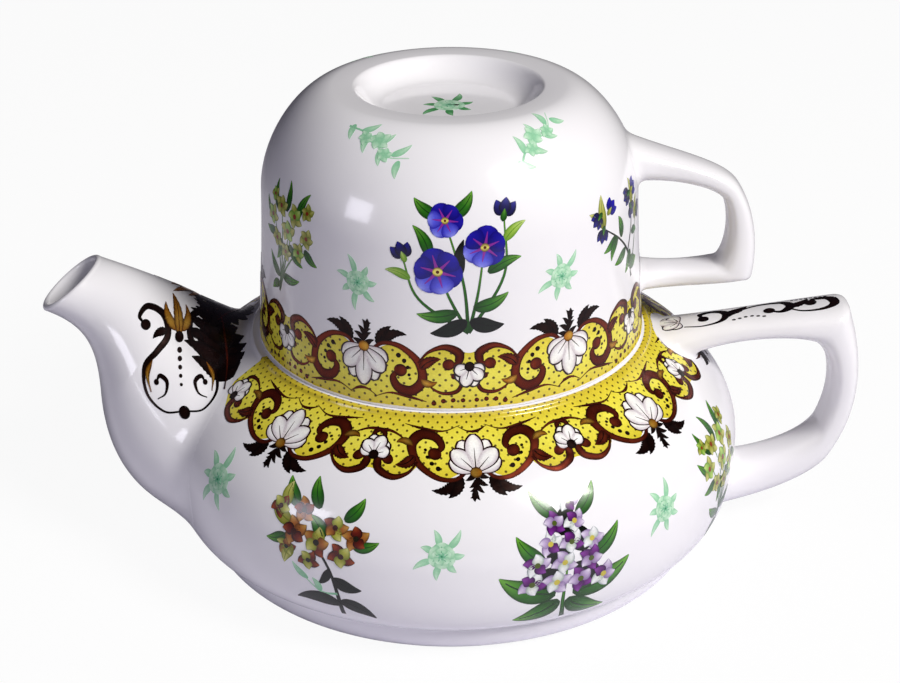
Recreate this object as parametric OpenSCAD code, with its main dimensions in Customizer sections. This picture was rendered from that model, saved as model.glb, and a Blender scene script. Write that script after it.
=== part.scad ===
// Tea for one: a low porcelain teapot, its inner lid, and the cup that stands upside down on it.
// The origin is the middle of the pot's foot, +Z is up, the spout points to -X and the handles to +X.

/* [Pot body] */
// Largest diameter of the belly
belly_d = 136.4; // [125:0.5:150]
// Height of the widest line of the belly
belly_z = 26.5; // [22:0.5:30]
// Diameter of the foot ring where it stands
foot_d = 113.4; // [104:0.2:116]
// Height of the foot band, up to the groove under the belly
foot_h = 8; // [6:0.5:10]
// Diameter in the groove between foot band and belly
groove_d = 120.2; // [118:0.2:123]
// Width of the flat ring that the pot stands on
foot_ring_w = 5; // [3:0.5:8]
// Depth of the hollow under the pot, inside the foot ring
foot_hollow = 3; // [2:0.25:4]
// Thickness of the pot's wall
pot_wall = 3.4; // [2.6:0.2:4.2]
// Thickness of the pot's floor
pot_floor = 4; // [3:0.25:5]
// Height of the ledge that the cup's rim stands on
seat_z = 53; // [50:0.5:58]
// Width of the ledge that shows outside the cup's rim
ledge_w = 1.8; // [1:0.2:3]
// Height of the raised deck inside the ledge, which keeps the cup in place
deck_h = 3; // [2:0.5:5]

/* [Cup] */
// Outer diameter of the cup's rim
rim_d = 90; // [86:0.5:94]
// Height of the cup, from rim to foot
cup_h = 58.4; // [54:0.2:66]
// Outer diameter where the straight wall ends and the shoulder starts
cup_wall_d = 85.6; // [82:0.2:88]
// Height of that line, measured from the rim
cup_wall_h = 36; // [30:0.5:40]
// Diameter of the flat ring that the cup stands on when it is the right way up
cup_foot_d = 52; // [48:0.5:58]
// Thickness of the cup's wall
cup_wall = 2.8; // [2:0.2:3.4]
// Diameter of the dished hollow in the cup's foot
dish_d = 41.2; // [36:0.2:44]
// Depth of that hollow
dish_h = 5; // [3:0.25:6]
// Thickness of the cup's floor under the hollow
cup_floor = 3.4; // [2.6:0.2:4.5]

/* [Lid] */
// Diameter of the pot's mouth
mouth_d = 56; // [46:0.5:60]
// Width of the step in the deck that the lid's flange lies on
step_w = 4.5; // [3:0.25:5.5]
// Depth of that step
step_h = 2.4; // [1.6:0.2:3]
// Height of the lid's dome above its flange
dome_h = 5; // [3:0.5:8]
// Thickness of the lid
lid_wall = 2.6; // [2:0.2:3.2]
// Depth of the collar that keeps the lid in the mouth
collar_h = 7; // [5:0.5:10]
// Diameter of the knob
knob_d = 15; // [12:0.5:20]
// Height of the knob above the dome
knob_h = 13; // [10:0.5:16]
// Diameter of the steam hole
vent_d = 2.6; // [1.5:0.1:4]
// Play between the lid and the mouth, all round
lid_play = 0.6; // [0.4:0.1:1]

/* [Spout] */
// Distance of the spout's lip from the pot's axis
spout_reach = 95.4; // [92:0.5:104]
// Height of the spout's lip
lip_z = 58.3; // [55:0.5:62]
// Length of the mouth, from the lip to the back edge
mouth_l = 17.6; // [16:0.5:22]
// Angle of the mouth above the horizontal
mouth_tilt = 37; // [30:1:50]
// Width of the mouth
mouth_w = 20; // [16:0.5:22]
// Distance of the spout's front from the axis, at the neck
neck_x = 83.7; // [82:0.5:88]
// Height where the front turns outwards to the lip
neck_z = 45; // [42:0.5:48]
// Width of the spout where it leaves the belly
spout_root_w = 62; // [50:1:66]
// Height of the lowest point where the spout leaves the pot
spout_root_z = 6; // [3:0.5:8]
// Thickness of the spout's wall
spout_wall = 2.6; // [2:0.2:3.4]
// Diameter of the holes that hold back the leaves
strain_d = 2; // [1.6:0.1:2.4]
// Distance between those holes
strain_pitch = 6; // [5.6:0.2:7]
// Rings of holes round the middle one
strain_rings = 2; // [1:1:2]

/* [Pot handle] */
// Distance of the handle's outer edge from the axis
handle_reach = 97; // [92:0.5:104]
// Height of the thumb rest at the corner
thumb_z = 57.4; // [54:0.5:60]
// Width of the handle at the thumb rest
thumb_w = 15; // [12:0.5:18]
// Width of the handle down the side
grip_w = 12.5; // [10:0.5:16]
// Thickness of the handle down the side
grip_t = 6.6; // [5.6:0.2:8]
// Thickness of the strap that runs in from the thumb rest
strap_t = 5.6; // [4.6:0.2:7]

/* [Cup handle] */
// Distance of the cup handle's outer edge from the axis
cup_reach = 70.4; // [66:0.5:76]
// Width of the cup handle at its square corner
cup_thumb_w = 12; // [10:0.5:15]
// Width of the cup handle round the curve
cup_grip_w = 10; // [8:0.5:12]
// Thickness of the strap near the rim
cup_strap_t = 4.4; // [3.6:0.2:5.4]
// Thickness of the handle down the side
cup_grip_t = 6.4; // [5:0.2:8]

/* [Hidden] */
$fn = 96;
belly_r = belly_d / 2;
foot_r = foot_d / 2;
groove_r = groove_d / 2;
rim_r = rim_d / 2;
ledge_r = rim_r + ledge_w;
deck_z = seat_z + deck_h;
floor_z = foot_hollow + pot_floor;
mouth_r = mouth_d / 2;
step_r = mouth_r + step_w;
step_z = deck_z - step_h;
ceiling_z = step_z - pot_wall;
// Play between the deck and the cup that stands round it
deck_play = 0.9;
deck_r = rim_r - cup_wall - deck_play;
cup_z = seat_z;
dish_z = cup_h - dish_h;
cup_floor_z = dish_z - cup_floor;
// Radius that breaks a glazed edge
edge = 0.8;
// Length by which a cut runs past the face that it opens
past = 1;
// Steps in each curve of a profile, and in each curve of a swept form
profile_steps = 10;
sweep_steps = 9;
// Points round a swept form
spout_sides = 28;
handle_sides = 20;

// Points along the cubic curve from a to d that b and c pull towards them
function curve(a, b, c, d, n) = [
    for (i = [0:n]) let (t = i / n, u = 1 - t)
        u * u * u * a + 3 * t * u * u * b + 3 * t * t * u * c + t * t * t * d
];
// Numbers that run from a to d in the same way
function line_of(a, b, c, d, n) = [for (p = curve([a, 0], [b, 0], [c, 0], [d, 0], n)) p.x];
// The same list without its first point, to follow on from another curve
function rest(list) = [for (i = [1:len(list) - 1]) list[i]];
// Every point of a line moved to its left by a distance
function inset(line, gap) = [
    for (i = [0:len(line) - 1])
        let (
            before = line[max(i - 1, 0)],
            after = line[min(i + 1, len(line) - 1)],
            run = (after - before) / norm(after - before)
        )
        line[i] + gap * [-run.y, run.x]
];
// Radius of a profile at a height
function radius_at(line, z) = lookup(z, [for (p = line) [p.y, p.x]]);

// Turned form of a profile. The line where the turn starts and ends lies at +Y, away from spout and handles.
module turned() {
    rotate([0, 0, 90])
        rotate_extrude()
            children();
}

// Outer line of the foot band, from the table up to the groove
foot_line = curve(
    [foot_r, 0],
    [foot_r + 1.2, 0],
    [groove_r + 1.4, foot_h / 2],
    [groove_r, foot_h],
    6
);
// Outer line of the belly, from the groove to its widest line and on to the ledge
belly_low = curve(
    [groove_r, foot_h + 0.3],
    [groove_r + 0.94 * (belly_r - groove_r), foot_h + 0.8],
    [belly_r, foot_h + 0.62 * (belly_z - foot_h)],
    [belly_r, belly_z],
    profile_steps
);
belly_high = curve(
    [belly_r, belly_z],
    [belly_r, belly_z + 0.5 * (seat_z - belly_z)],
    [ledge_r + 0.46 * (belly_r - ledge_r), seat_z - 6.5],
    [ledge_r + edge / 2, seat_z - edge],
    profile_steps
);
pot_line = concat(foot_line, belly_low, rest(belly_high));

module pot_form() {
    turned()
        polygon(concat(
            [[0, foot_hollow], [foot_r - foot_ring_w - foot_hollow, foot_hollow], [foot_r - foot_ring_w, 0]],
            pot_line,
            [[ledge_r - edge / 2, seat_z], [deck_r, seat_z]],
            [[deck_r, deck_z - edge], [deck_r - edge, deck_z], [0, deck_z]]
        ));
}

// Inside of the pot, its mouth and the step for the lid
module pot_hollow() {
    // The floor meets the wall in a bend of this size
    bend_r = 6;
    wall_low = [for (p = inset(belly_low, pot_wall)) if (p.y > floor_z + bend_r - past) p];
    wall_high = [for (p = inset(belly_high, pot_wall)) if (p.y < ceiling_z - 2 * edge) p];
    flat_r = groove_r - pot_wall - bend_r;
    bend = curve(
        [flat_r, floor_z],
        [flat_r + bend_r - past, floor_z],
        wall_low[0] + 2.5 * (wall_low[0] - wall_low[1]),
        wall_low[0],
        6
    );
    turned()
        polygon(concat(
            [[0, floor_z]],
            bend,
            rest(wall_low),
            rest(wall_high),
            [[deck_r - pot_wall, ceiling_z], [mouth_r + edge, ceiling_z], [mouth_r, ceiling_z + edge]],
            [[mouth_r, step_z], [step_r, step_z], [step_r, deck_z - edge / 2]],
            [[step_r + edge, deck_z + edge / 2], [step_r + edge, deck_z + past], [0, deck_z + past]]
        ));
}

// Ring of a swept form: an ellipse across the section from low to high, w wide on each side.
// A square above 2 makes the ellipse fuller, towards a rounded box.
function ring(low, high, w, sides, square) = [
    for (k = [0:sides - 1])
        let (
            a = 360 * k / sides,
            up = sign(cos(a)) * pow(abs(cos(a)), 2 / square),
            out = sign(sin(a)) * pow(abs(sin(a)), 2 / square),
            mid = (low + high) / 2 + up * (high - low) / 2
        )
        [mid.x, out * w, mid.y]
];

// Closed skin through a list of rings
module skin(rings) {
    n = len(rings);
    sides = len(rings[0]);
    walls = [
        for (i = [0:n - 2], k = [0:sides - 1])
            let (a = i * sides + k, b = i * sides + (k + 1) % sides)
            each [[a, b, b + sides], [a, b + sides, a + sides]]
    ];
    start = [for (k = [sides - 1:-1:0]) k];
    end = [for (k = [0:sides - 1]) (n - 1) * sides + k];
    polyhedron([for (r = rings) each r], concat(walls, [start, end]));
}

// Spout, drawn along +X here and turned to -X where it is used
spout_root_x = radius_at(pot_line, spout_root_z) - 2;
lip = [spout_reach, lip_z];
lip_back = lip + mouth_l * [-cos(mouth_tilt), sin(mouth_tilt)];
// Height where the front of the spout stands upright, below the neck
upright_z = neck_z - 8;
spout_low = concat(
    curve(
        [spout_root_x, spout_root_z],
        [spout_root_x + 0.62 * (neck_x - spout_root_x), spout_root_z + 2.5],
        [neck_x, spout_root_z + 0.36 * (upright_z - spout_root_z)],
        [neck_x, upright_z],
        sweep_steps
    ),
    rest(curve(
        [neck_x, upright_z],
        [neck_x, neck_z + 4],
        [neck_x + 0.17 * (spout_reach - neck_x), lip_z - 4.5],
        lip,
        sweep_steps
    ))
);
// The back leaves the shoulder just below the ledge, hollow at first, and comes up to the mouth on a slant
spout_high_root = [deck_r + 3.5, seat_z - 4.5];
back_hollow = [12.5, 7.3];
back_slant = [12, 4];
spout_high = curve(
    spout_high_root,
    spout_high_root + back_hollow,
    lip_back - back_slant,
    lip_back,
    2 * sweep_steps
);
// Half the spout's width at each ring: it flares at the root and runs straight into the mouth
root_flare = 2;
root_waist = 4;
mouth_waist = 2;
spout_half = line_of(
    spout_root_w / 2 + root_flare,
    spout_root_w / 2 - root_waist,
    mouth_w / 2 - mouth_waist,
    mouth_w / 2,
    2 * sweep_steps
);
// The wall at the mouth is thinner than at the root by this share
lip_thinning = 0.35;

// Rings of the spout, drawn in on every side by a wall that thins towards the lip
function spout_rings(wall) = [
    for (i = [0:len(spout_low) - 1])
        let (
            thin = wall * (1 - lip_thinning * i / (len(spout_low) - 1)),
            across = spout_high[i] - spout_low[i],
            step = thin * across / norm(across)
        )
        ring(spout_low[i] + step, spout_high[i] - step, spout_half[i] - thin, spout_sides, 2)
];

module spout_shell() {
    out = [sin(mouth_tilt), cos(mouth_tilt)];
    inner = spout_rings(spout_wall);
    last = len(inner) - 1;
    lengthen = [for (p = inner[last]) p + past * [out.x, 0, out.y]];
    begin = [for (p = inner[0]) p - [past, 0, 0]];
    difference() {
        skin(spout_rings(0));
        skin(concat([begin], inner, [lengthen]));
    }
}

// Holes through the belly's wall behind the spout, which hold back the leaves: a middle one, and rings of
// six, twelve and so on round it
module strainer() {
    mid_z = belly_z + 3;
    far_out = strain_rings * strain_pitch + strain_d;
    start_x = sqrt(pow(belly_r - pot_wall, 2) - pow(far_out, 2)) - 2 * pot_wall;
    for (ring = [0:strain_rings], k = [0:max(6 * ring, 1) - 1])
        let (turn = 60 * k / max(ring, 1), away = ring * strain_pitch)
            translate([start_x, away * cos(turn), mid_z + away * sin(turn)])
                rotate([0, 90, 0])
                    cylinder(h = belly_r - start_x + past, d = strain_d);
}

// Handle swept between its outer and its inner line, with half its width at each ring
module handle(outer, inner, widths) {
    fullness = 2.6;
    skin([
        for (i = [0:len(outer) - 1]) ring(inner[i], outer[i], widths[i], handle_sides, fullness)
    ]);
}

// The pot's handle has four points on each line: the strap's root on the shoulder, the thumb corner, the
// bend where the grip turns back, and the tail on the belly. The vectors are how far each curve is pulled.
module pot_handle() {
    strap_root = [deck_r + 5, seat_z - 2.4];
    corner = [handle_reach - 4, thumb_z];
    side = [handle_reach - 6.2, belly_z - 10.5];
    tail = [radius_at(pot_line, 4) - 2, 3.5];
    // The corner's edge is broken between these two places
    corner_in = corner - [1.5, 0];
    corner_down = corner + [0.9, -1.6];
    outer = concat(
        curve(strap_root, strap_root + [14, 3], corner - [15, 2], corner_in, sweep_steps),
        [corner + [0.4, -0.5], corner_down],
        rest(curve(corner_down, [handle_reach + 0.4, thumb_z - 12], [handle_reach + 3, belly_z + 4],
            side, sweep_steps)),
        rest(curve(side, side - [6, 7], tail + [13, 1.2], tail, sweep_steps))
    );
    // The strap deepens towards its root and towards the corner, and the grip towards its tail
    root_depth = strap_t + 1.8;
    corner_depth = strap_t + 3.6;
    tail_depth = 10.8;
    in_root = strap_root + [6, -root_depth];
    in_corner = corner + [-7.4, -corner_depth];
    in_corner_down = in_corner + [1.5, -1.1];
    in_side = side + grip_t * [-0.3, 1.55];
    in_tail = tail + [0, tail_depth];
    grip_in = handle_reach - grip_t;
    inner = concat(
        curve(in_root, in_root + [9, 5.4], in_corner - [6, -2.5], in_corner, sweep_steps),
        [in_corner + [0.8, -0.5], in_corner_down],
        rest(curve(in_corner_down, [grip_in + 0.2, thumb_z - 14], [grip_in + 1.6, belly_z + 9],
            in_side, sweep_steps)),
        rest(curve(in_side, in_side - [2.8, 6], in_tail + [15, 0.8], in_tail, sweep_steps))
    );
    // Half widths: a spread root, a waist, the thumb rest, the grip and a spread tail
    root_half = 9.5;
    waist_half = 3.6;
    thumb_half = thumb_w / 2;
    grip_half = grip_w / 2;
    tail_half = grip_half + 3.5;
    handle(outer, inner, concat(
        line_of(root_half, waist_half, thumb_half - 0.5, thumb_half, sweep_steps),
        [thumb_half, thumb_half],
        rest(line_of(thumb_half, thumb_half - 0.5, grip_half, grip_half, sweep_steps)),
        rest(line_of(grip_half, grip_half, grip_half, tail_half, sweep_steps))
    ));
}

module teapot() {
    color("ghostwhite")
        difference() {
            union() {
                pot_form();
                rotate([0, 0, 180])
                    spout_shell();
                pot_handle();
            }
            pot_hollow();
            rotate([0, 0, 180])
                strainer();
        }
}

// The cup is drawn upside down, as it stands on the pot: height 0 is its rim
cup_side = curve(
    [rim_r, edge],
    [rim_r - 0.36 * (rim_r - cup_wall_d / 2), cup_wall_h * 0.28],
    [cup_wall_d / 2 + 0.4, cup_wall_h * 0.67],
    [cup_wall_d / 2, cup_wall_h],
    6
);
cup_shoulder = curve(
    [cup_wall_d / 2, cup_wall_h],
    [cup_wall_d / 2 - 0.4, cup_wall_h + 0.47 * (cup_h - cup_wall_h)],
    [cup_foot_d / 2 + 0.45 * (cup_wall_d - cup_foot_d) / 2, cup_h],
    [cup_foot_d / 2, cup_h],
    14
);
cup_line = concat(cup_side, rest(cup_shoulder));
dish_side = curve(
    [dish_d / 2 + 1, cup_h],
    [dish_d / 2 - 0.5, cup_h],
    [dish_d / 2 - 1.5, dish_z],
    [dish_d / 2 - 6, dish_z],
    8
);

module cup_form() {
    turned()
        polygon(concat(
            [[0, 0], [rim_r - edge, 0]],
            cup_line,
            dish_side,
            [[0, dish_z]]
        ));
}

module cup_hollow() {
    wall = [for (p = inset(cup_line, cup_wall)) if (p.y < cup_floor_z) p];
    top = wall[len(wall) - 1];
    before = wall[len(wall) - 2];
    bend = curve(
        top,
        top + 1.6 * (top - before),
        [dish_d / 2 + 3, cup_floor_z + 4],
        [dish_d / 2 - 1, cup_floor_z + 1.2],
        6
    );
    turned()
        polygon(concat(
            [[0, -past], [rim_r - cup_wall, -past]],
            [[rim_r - cup_wall, 0]],
            rest(wall),
            rest(bend),
            [[dish_d / 2 - 7, cup_floor_z], [0, cup_floor_z]]
        ));
}

// The cup's handle has the same four points on each line, from the strap near the rim to the tail
module cup_handle() {
    // Heights of strap and tail above the rim, and depth of each root in the wall
    strap_z = 9.4;
    tail_z = cup_wall_h + 10.5;
    tail_depth = 10.6;
    sunk = cup_wall / 2;
    strap_root = [rim_r - sunk - 0.4, strap_z];
    corner = [cup_reach - 0.4, strap_z + 1.8];
    side = [cup_reach - 4.6, cup_wall_h - 1.5];
    tail = [radius_at(cup_line, tail_z) - sunk, tail_z];
    // The corner's edge is broken between these two places
    corner_in = corner - [1.6, -0.2];
    corner_up = corner + [0.1, 1.4];
    outer = concat(
        curve(strap_root, strap_root + [8, 0], corner - [9, 1.2], corner_in, sweep_steps),
        [corner + [-0.4, 0.3], corner_up],
        rest(curve(corner_up, [cup_reach + 0.4, cup_wall_h * 0.5], [cup_reach + 0.3, cup_wall_h * 0.76],
            side, sweep_steps)),
        rest(curve(side, side + [-3.4, 5], tail + [10, -4.4], tail, sweep_steps))
    );
    in_root = strap_root + [0, cup_strap_t + 0.6];
    in_corner = corner + [-9, cup_strap_t - 0.4];
    in_corner_up = in_corner + [1.1, 1];
    in_side = side - cup_grip_t * [0.55, 0.5];
    in_tail_z = tail_z - tail_depth;
    in_tail = [radius_at(cup_line, in_tail_z) - sunk, in_tail_z];
    grip_in = cup_reach - cup_grip_t;
    inner = concat(
        curve(in_root, in_root + [6, 0.2], in_corner - [5, 1], in_corner, sweep_steps),
        [in_corner + [0.6, 0.4], in_corner_up],
        rest(curve(in_corner_up, [grip_in + 0.3, cup_wall_h * 0.55], [grip_in + 0.2, cup_wall_h * 0.76],
            in_side, sweep_steps)),
        rest(curve(in_side, in_side + [-2.6, 3.4], in_tail + [7, 0.8], in_tail, sweep_steps))
    );
    // Half widths, spread at both roots
    thumb_half = cup_thumb_w / 2;
    grip_half = cup_grip_w / 2;
    root_half = grip_half + 2.5;
    handle(inner, outer, concat(
        line_of(root_half, grip_half - 2, thumb_half, thumb_half, sweep_steps),
        [thumb_half, thumb_half],
        rest(line_of(thumb_half, thumb_half, grip_half, grip_half, sweep_steps)),
        rest(line_of(grip_half, grip_half, grip_half, root_half, sweep_steps))
    ));
}

module cup() {
    color("white")
        translate([0, 0, cup_z])
            difference() {
                union() {
                    cup_form();
                    cup_handle();
                }
                cup_hollow();
            }
}

// The lid is turned: a flange on the step, a low dome, a waisted knob, and a collar that hangs in the mouth
module lid() {
    flange_r = step_r - lid_play;
    collar_r = mouth_r - lid_play;
    collar_in = collar_r - lid_wall;
    collar_z = step_z - collar_h;
    dome_z = deck_z + dome_h;
    under_z = dome_z - lid_wall;
    shoulder = [flange_r - 2, deck_z + 0.2];
    neck_r = knob_d * 0.27;
    neck_foot = [neck_r + 3, dome_z + 0.2];
    neck = [neck_r, dome_z + knob_h * 0.25];
    knob_side = [knob_d / 2, dome_z + knob_h * 0.65];
    knob_top = [0, dome_z + knob_h];
    top = concat(
        curve([flange_r, deck_z - edge], [flange_r, deck_z], [flange_r - edge, deck_z], shoulder, 3),
        rest(curve(shoulder, [mouth_r * 0.8, deck_z + edge], [mouth_r * 0.5, dome_z], neck_foot, 8)),
        rest(curve(neck_foot, [neck_r, dome_z + 0.3], [neck_r, dome_z + 1], neck, 4)),
        rest(curve(neck, [neck_r, dome_z + knob_h * 0.38], [knob_side.x, dome_z + knob_h * 0.42],
            knob_side, 5)),
        rest(curve(knob_side, [knob_side.x, dome_z + knob_h * 0.9], [knob_side.x / 2, knob_top.y],
            knob_top, 7))
    );
    under = curve(
        [0, under_z],
        [mouth_r * 0.5, under_z],
        [mouth_r * 0.7, deck_z - lid_wall + 0.6],
        [collar_in, deck_z - lid_wall],
        7
    );
    color("snow")
        difference() {
            rotate_extrude()
                polygon(concat(
                    under,
                    [[collar_in, collar_z], [collar_r - edge, collar_z], [collar_r, collar_z + edge]],
                    [[collar_r, step_z], [flange_r, step_z]],
                    top
                ));
            translate([mouth_r * 0.55, 0, step_z])
                cylinder(h = dome_h + step_h + past, d = vent_d);
        }
}

teapot();
lid();
cup();
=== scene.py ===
"""Looks of a tea for one: a low porcelain teapot with a cup standing upside down on it.

Lengths are millimetres in the frame of the solids: the pot's foot stands on z 0, the spout points to -X
and both handles to +X. Meshes are scaled to metres as they are made.
"""

import math

import bmesh
import bpy
import numpy as np
from mathutils import Matrix, Vector


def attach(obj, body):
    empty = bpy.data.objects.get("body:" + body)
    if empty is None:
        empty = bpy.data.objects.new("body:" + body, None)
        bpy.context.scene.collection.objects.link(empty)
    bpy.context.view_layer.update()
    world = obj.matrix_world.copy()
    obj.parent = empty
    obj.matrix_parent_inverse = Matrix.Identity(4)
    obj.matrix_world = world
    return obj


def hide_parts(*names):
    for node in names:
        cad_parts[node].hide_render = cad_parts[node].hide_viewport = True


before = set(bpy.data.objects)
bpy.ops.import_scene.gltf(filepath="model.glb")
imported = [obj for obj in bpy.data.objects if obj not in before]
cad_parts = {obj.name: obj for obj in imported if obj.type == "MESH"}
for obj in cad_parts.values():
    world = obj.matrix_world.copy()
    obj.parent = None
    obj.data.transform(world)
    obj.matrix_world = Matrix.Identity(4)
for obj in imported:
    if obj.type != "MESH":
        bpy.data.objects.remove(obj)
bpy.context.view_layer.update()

# Pot body
# The low, round body is slip-cast porcelain with a foot ring, a ledge for the cup and a stepped mouth.
# It is dipped in clear glaze and fired, and only the foot ring that it stands on is wiped bare.
MM = 0.001
BELLY_R, BELLY_Z = 68.2, 26.5
FOOT_R, FOOT_H, GROOVE_R = 56.7, 8.0, 60.1
FOOT_RING_W, FOOT_HOLLOW = 5.0, 3.0
POT_WALL, FLOOR_Z, CEILING_Z = 3.4, 7.0, 50.2
SEAT_Z, LEDGE_R = 53.0, 46.8
DECK_R, DECK_Z = 41.3, 56.0
MOUTH_R, STEP_R, STEP_Z = 28.0, 32.5, 53.6
EDGE_R = 0.8
TURN_SIDES, SOFT_STEPS = 192, 5


def cubic(a, b, c, d, n):
    """Points along the cubic curve from a to d that b and c pull towards them, in n steps."""
    t = np.linspace(0, 1, n + 1)[:, None]
    u = 1 - t
    a, b, c, d = (np.asarray(p, float) for p in (a, b, c, d))
    return u**3 * a + 3 * t * u**2 * b + 3 * t**2 * u * c + t**3 * d


def chain(*lines):
    """Lines joined end to end, without the points that two neighbours share."""
    points = np.concatenate([np.asarray(line, float) for line in lines])
    keep = np.hypot(*np.diff(points, axis=0).T) > 1e-4
    return points[np.concatenate([[True], keep])]


def soften(points, radius):
    """A polyline whose inner corners become curves that start and end radius away from the corner."""
    points = np.asarray(points, float)
    parts = [points[:1]]
    for before, corner, after in zip(points, points[1:], points[2:]):
        to_before = (before - corner) / np.linalg.norm(before - corner)
        to_after = (after - corner) / np.linalg.norm(after - corner)
        near = radius * np.array([to_before, to_after])
        parts.append(cubic(
            corner + near[0], corner + near[0] / 3, corner + near[1] / 3, corner + near[1], SOFT_STEPS
        ))
    return chain(*parts, points[-1:])


def inset(line, gap):
    """Every point of a line moved to its left by a distance."""
    run = np.gradient(line, axis=0)
    run /= np.hypot(*run.T)[:, None]
    return line + gap * np.stack([-run[:, 1], run[:, 0]], 1)


foot_band = cubic([FOOT_R, 0.5], [FOOT_R + 1.2, 0.5], [GROOVE_R + 1.4, FOOT_H / 2], [GROOVE_R, FOOT_H], 24)
belly_low = cubic(
    [GROOVE_R, FOOT_H + 0.3],
    [GROOVE_R + 0.94 * (BELLY_R - GROOVE_R), FOOT_H + 0.8],
    [BELLY_R, FOOT_H + 0.62 * (BELLY_Z - FOOT_H)],
    [BELLY_R, BELLY_Z],
    40,
)
belly_high = cubic(
    [BELLY_R, BELLY_Z],
    [BELLY_R, BELLY_Z + 0.5 * (SEAT_Z - BELLY_Z)],
    [LEDGE_R + 0.46 * (BELLY_R - LEDGE_R), SEAT_Z - 6.5],
    [LEDGE_R + EDGE_R / 2, SEAT_Z - EDGE_R],
    56,
)
pot_outside = chain(foot_band, belly_low, belly_high)


def grid_faces(rows, columns, closed_rows=False):
    """Four-sided faces between the rows of a grid whose columns close into a ring, and its rows too if
    asked."""
    i = np.arange(rows if closed_rows else rows - 1)[:, None]
    k = np.arange(columns)[None, :]
    next_i, next_k = (i + 1) % rows, (k + 1) % columns
    corners = [i * columns + k, i * columns + next_k, next_i * columns + next_k, next_i * columns + k]
    return np.stack(np.broadcast_arrays(*corners), -1).reshape(-1, 4)


def end_fans(rows, columns):
    """Triangles that close a grid's first and last ring with the two points that follow the grid."""
    step = np.arange(columns)
    onward = (step + 1) % columns
    last = (rows - 1) * columns
    return np.concatenate([
        np.stack([np.full(columns, rows * columns), onward, step], 1),
        np.stack([np.full(columns, rows * columns + 1), last + step, last + onward], 1),
    ])


def revolve(line):
    """Vertices and faces of a profile of (radius, height), turned round the Z axis and closed by a point at
    each end."""
    turn = np.linspace(0, 2 * math.pi, TURN_SIDES, endpoint=False)
    rings = line[1:-1]
    grid = np.stack([
        rings[:, :1] * np.cos(turn), rings[:, :1] * np.sin(turn), np.repeat(rings[:, 1:], TURN_SIDES, 1)
    ], -1)
    poles = np.array([[0, 0, line[0, 1]], [0, 0, line[-1, 1]]])
    faces = [grid_faces(len(rings), TURN_SIDES), end_fans(len(rings), TURN_SIDES)]
    return np.concatenate([grid.reshape(-1, 3), poles]), faces


def face_outwards(mesh):
    """Turns the faces of a closed mesh outwards."""
    shell = bmesh.new()
    shell.from_mesh(mesh)
    bmesh.ops.recalc_face_normals(shell, faces=shell.faces)
    shell.to_mesh(mesh)
    shell.free()


def piece(name, shells, material, replaces=None):
    """One object from closed shells of (vertices in mm, lists of faces), with its faces turned outwards and
    shaded smooth."""
    vertices, faces, base = [], [], 0
    for points, lists in shells:
        vertices.append(points)
        for rows in lists:
            faces += (rows + base).tolist()
        base += len(points)
    mesh = bpy.data.meshes.new(name)
    mesh.from_pydata((np.concatenate(vertices) * MM).tolist(), [], faces)
    face_outwards(mesh)
    mesh.polygons.foreach_set("use_smooth", np.ones(len(mesh.polygons), bool))
    mesh.materials.append(material)
    made = bpy.data.objects.new(name, mesh)
    bpy.context.scene.collection.objects.link(made)
    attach(made, "root")
    if replaces:
        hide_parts(replaces)
    return made


def linear(code):
    """Linear red, green, blue and alpha of an sRGB hex colour."""
    parts = [int(code[k:k + 2], 16) / 255 for k in (0, 2, 4)]
    return [p / 12.92 if p <= 0.04045 else ((p + 0.055) / 1.055) ** 2.4 for p in parts] + [1.0]


def node(tree, kind, links=None, **settings):
    """Adds one node. links fills its inputs with a value or another node's socket, and settings are its own
    fields."""
    made = tree.nodes.new(kind)
    for name, value in settings.items():
        setattr(made, name, value)
    for name, value in (links or {}).items():
        if isinstance(value, bpy.types.NodeSocket):
            tree.links.new(value, made.inputs[name])
        else:
            made.inputs[name].default_value = value
    return made


def finish_of(name):
    """An empty material and its tree."""
    made = bpy.data.materials.new(name)
    made.use_nodes = True
    made.node_tree.nodes.clear()
    return made, made.node_tree


GLAZE_CLOUD = 1 / 0.03
GLAZE_WAVE, WAVE_STRENGTH, WAVE_DEPTH = 1 / 0.012, 0.06, 0.0006


def glaze_waves(tree):
    """A normal with the slow, shallow waves in which a clear glaze settles."""
    place = node(tree, "ShaderNodeTexCoord").outputs["Object"]
    wave = node(tree, "ShaderNodeTexNoise", {"Vector": place, "Scale": GLAZE_WAVE, "Detail": 1.0})
    ripple = node(tree, "ShaderNodeBump", {
        "Height": wave.outputs["Fac"], "Strength": WAVE_STRENGTH, "Distance": WAVE_DEPTH,
    })
    return ripple.outputs["Normal"]


# Clear-glazed porcelain: a fine white body under a clear glass that lies a little wavy. It shows sharp
# reflections, over a white that clouds here and there to a faint violet grey.
porcelain, tree = finish_of("clear_glazed_porcelain")
place = node(tree, "ShaderNodeTexCoord").outputs["Object"]
cloud = node(tree, "ShaderNodeTexNoise", {
    "Vector": place, "Scale": GLAZE_CLOUD, "Detail": 3.0, "Roughness": 0.5,
})
tint = node(tree, "ShaderNodeMix", {
    "Factor": cloud.outputs["Fac"], "A": linear("F3F1F8"), "B": linear("FAF9FC"),
}, data_type="RGBA")
body = node(tree, "ShaderNodeBsdfPrincipled", {
    "Base Color": tint.outputs["Result"], "Normal": glaze_waves(tree),
    "Roughness": 0.16, "IOR": 1.5, "Coat Weight": 0.35, "Coat Roughness": 0.05,
})
node(tree, "ShaderNodeOutputMaterial", {"Surface": body.outputs["BSDF"]})

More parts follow.
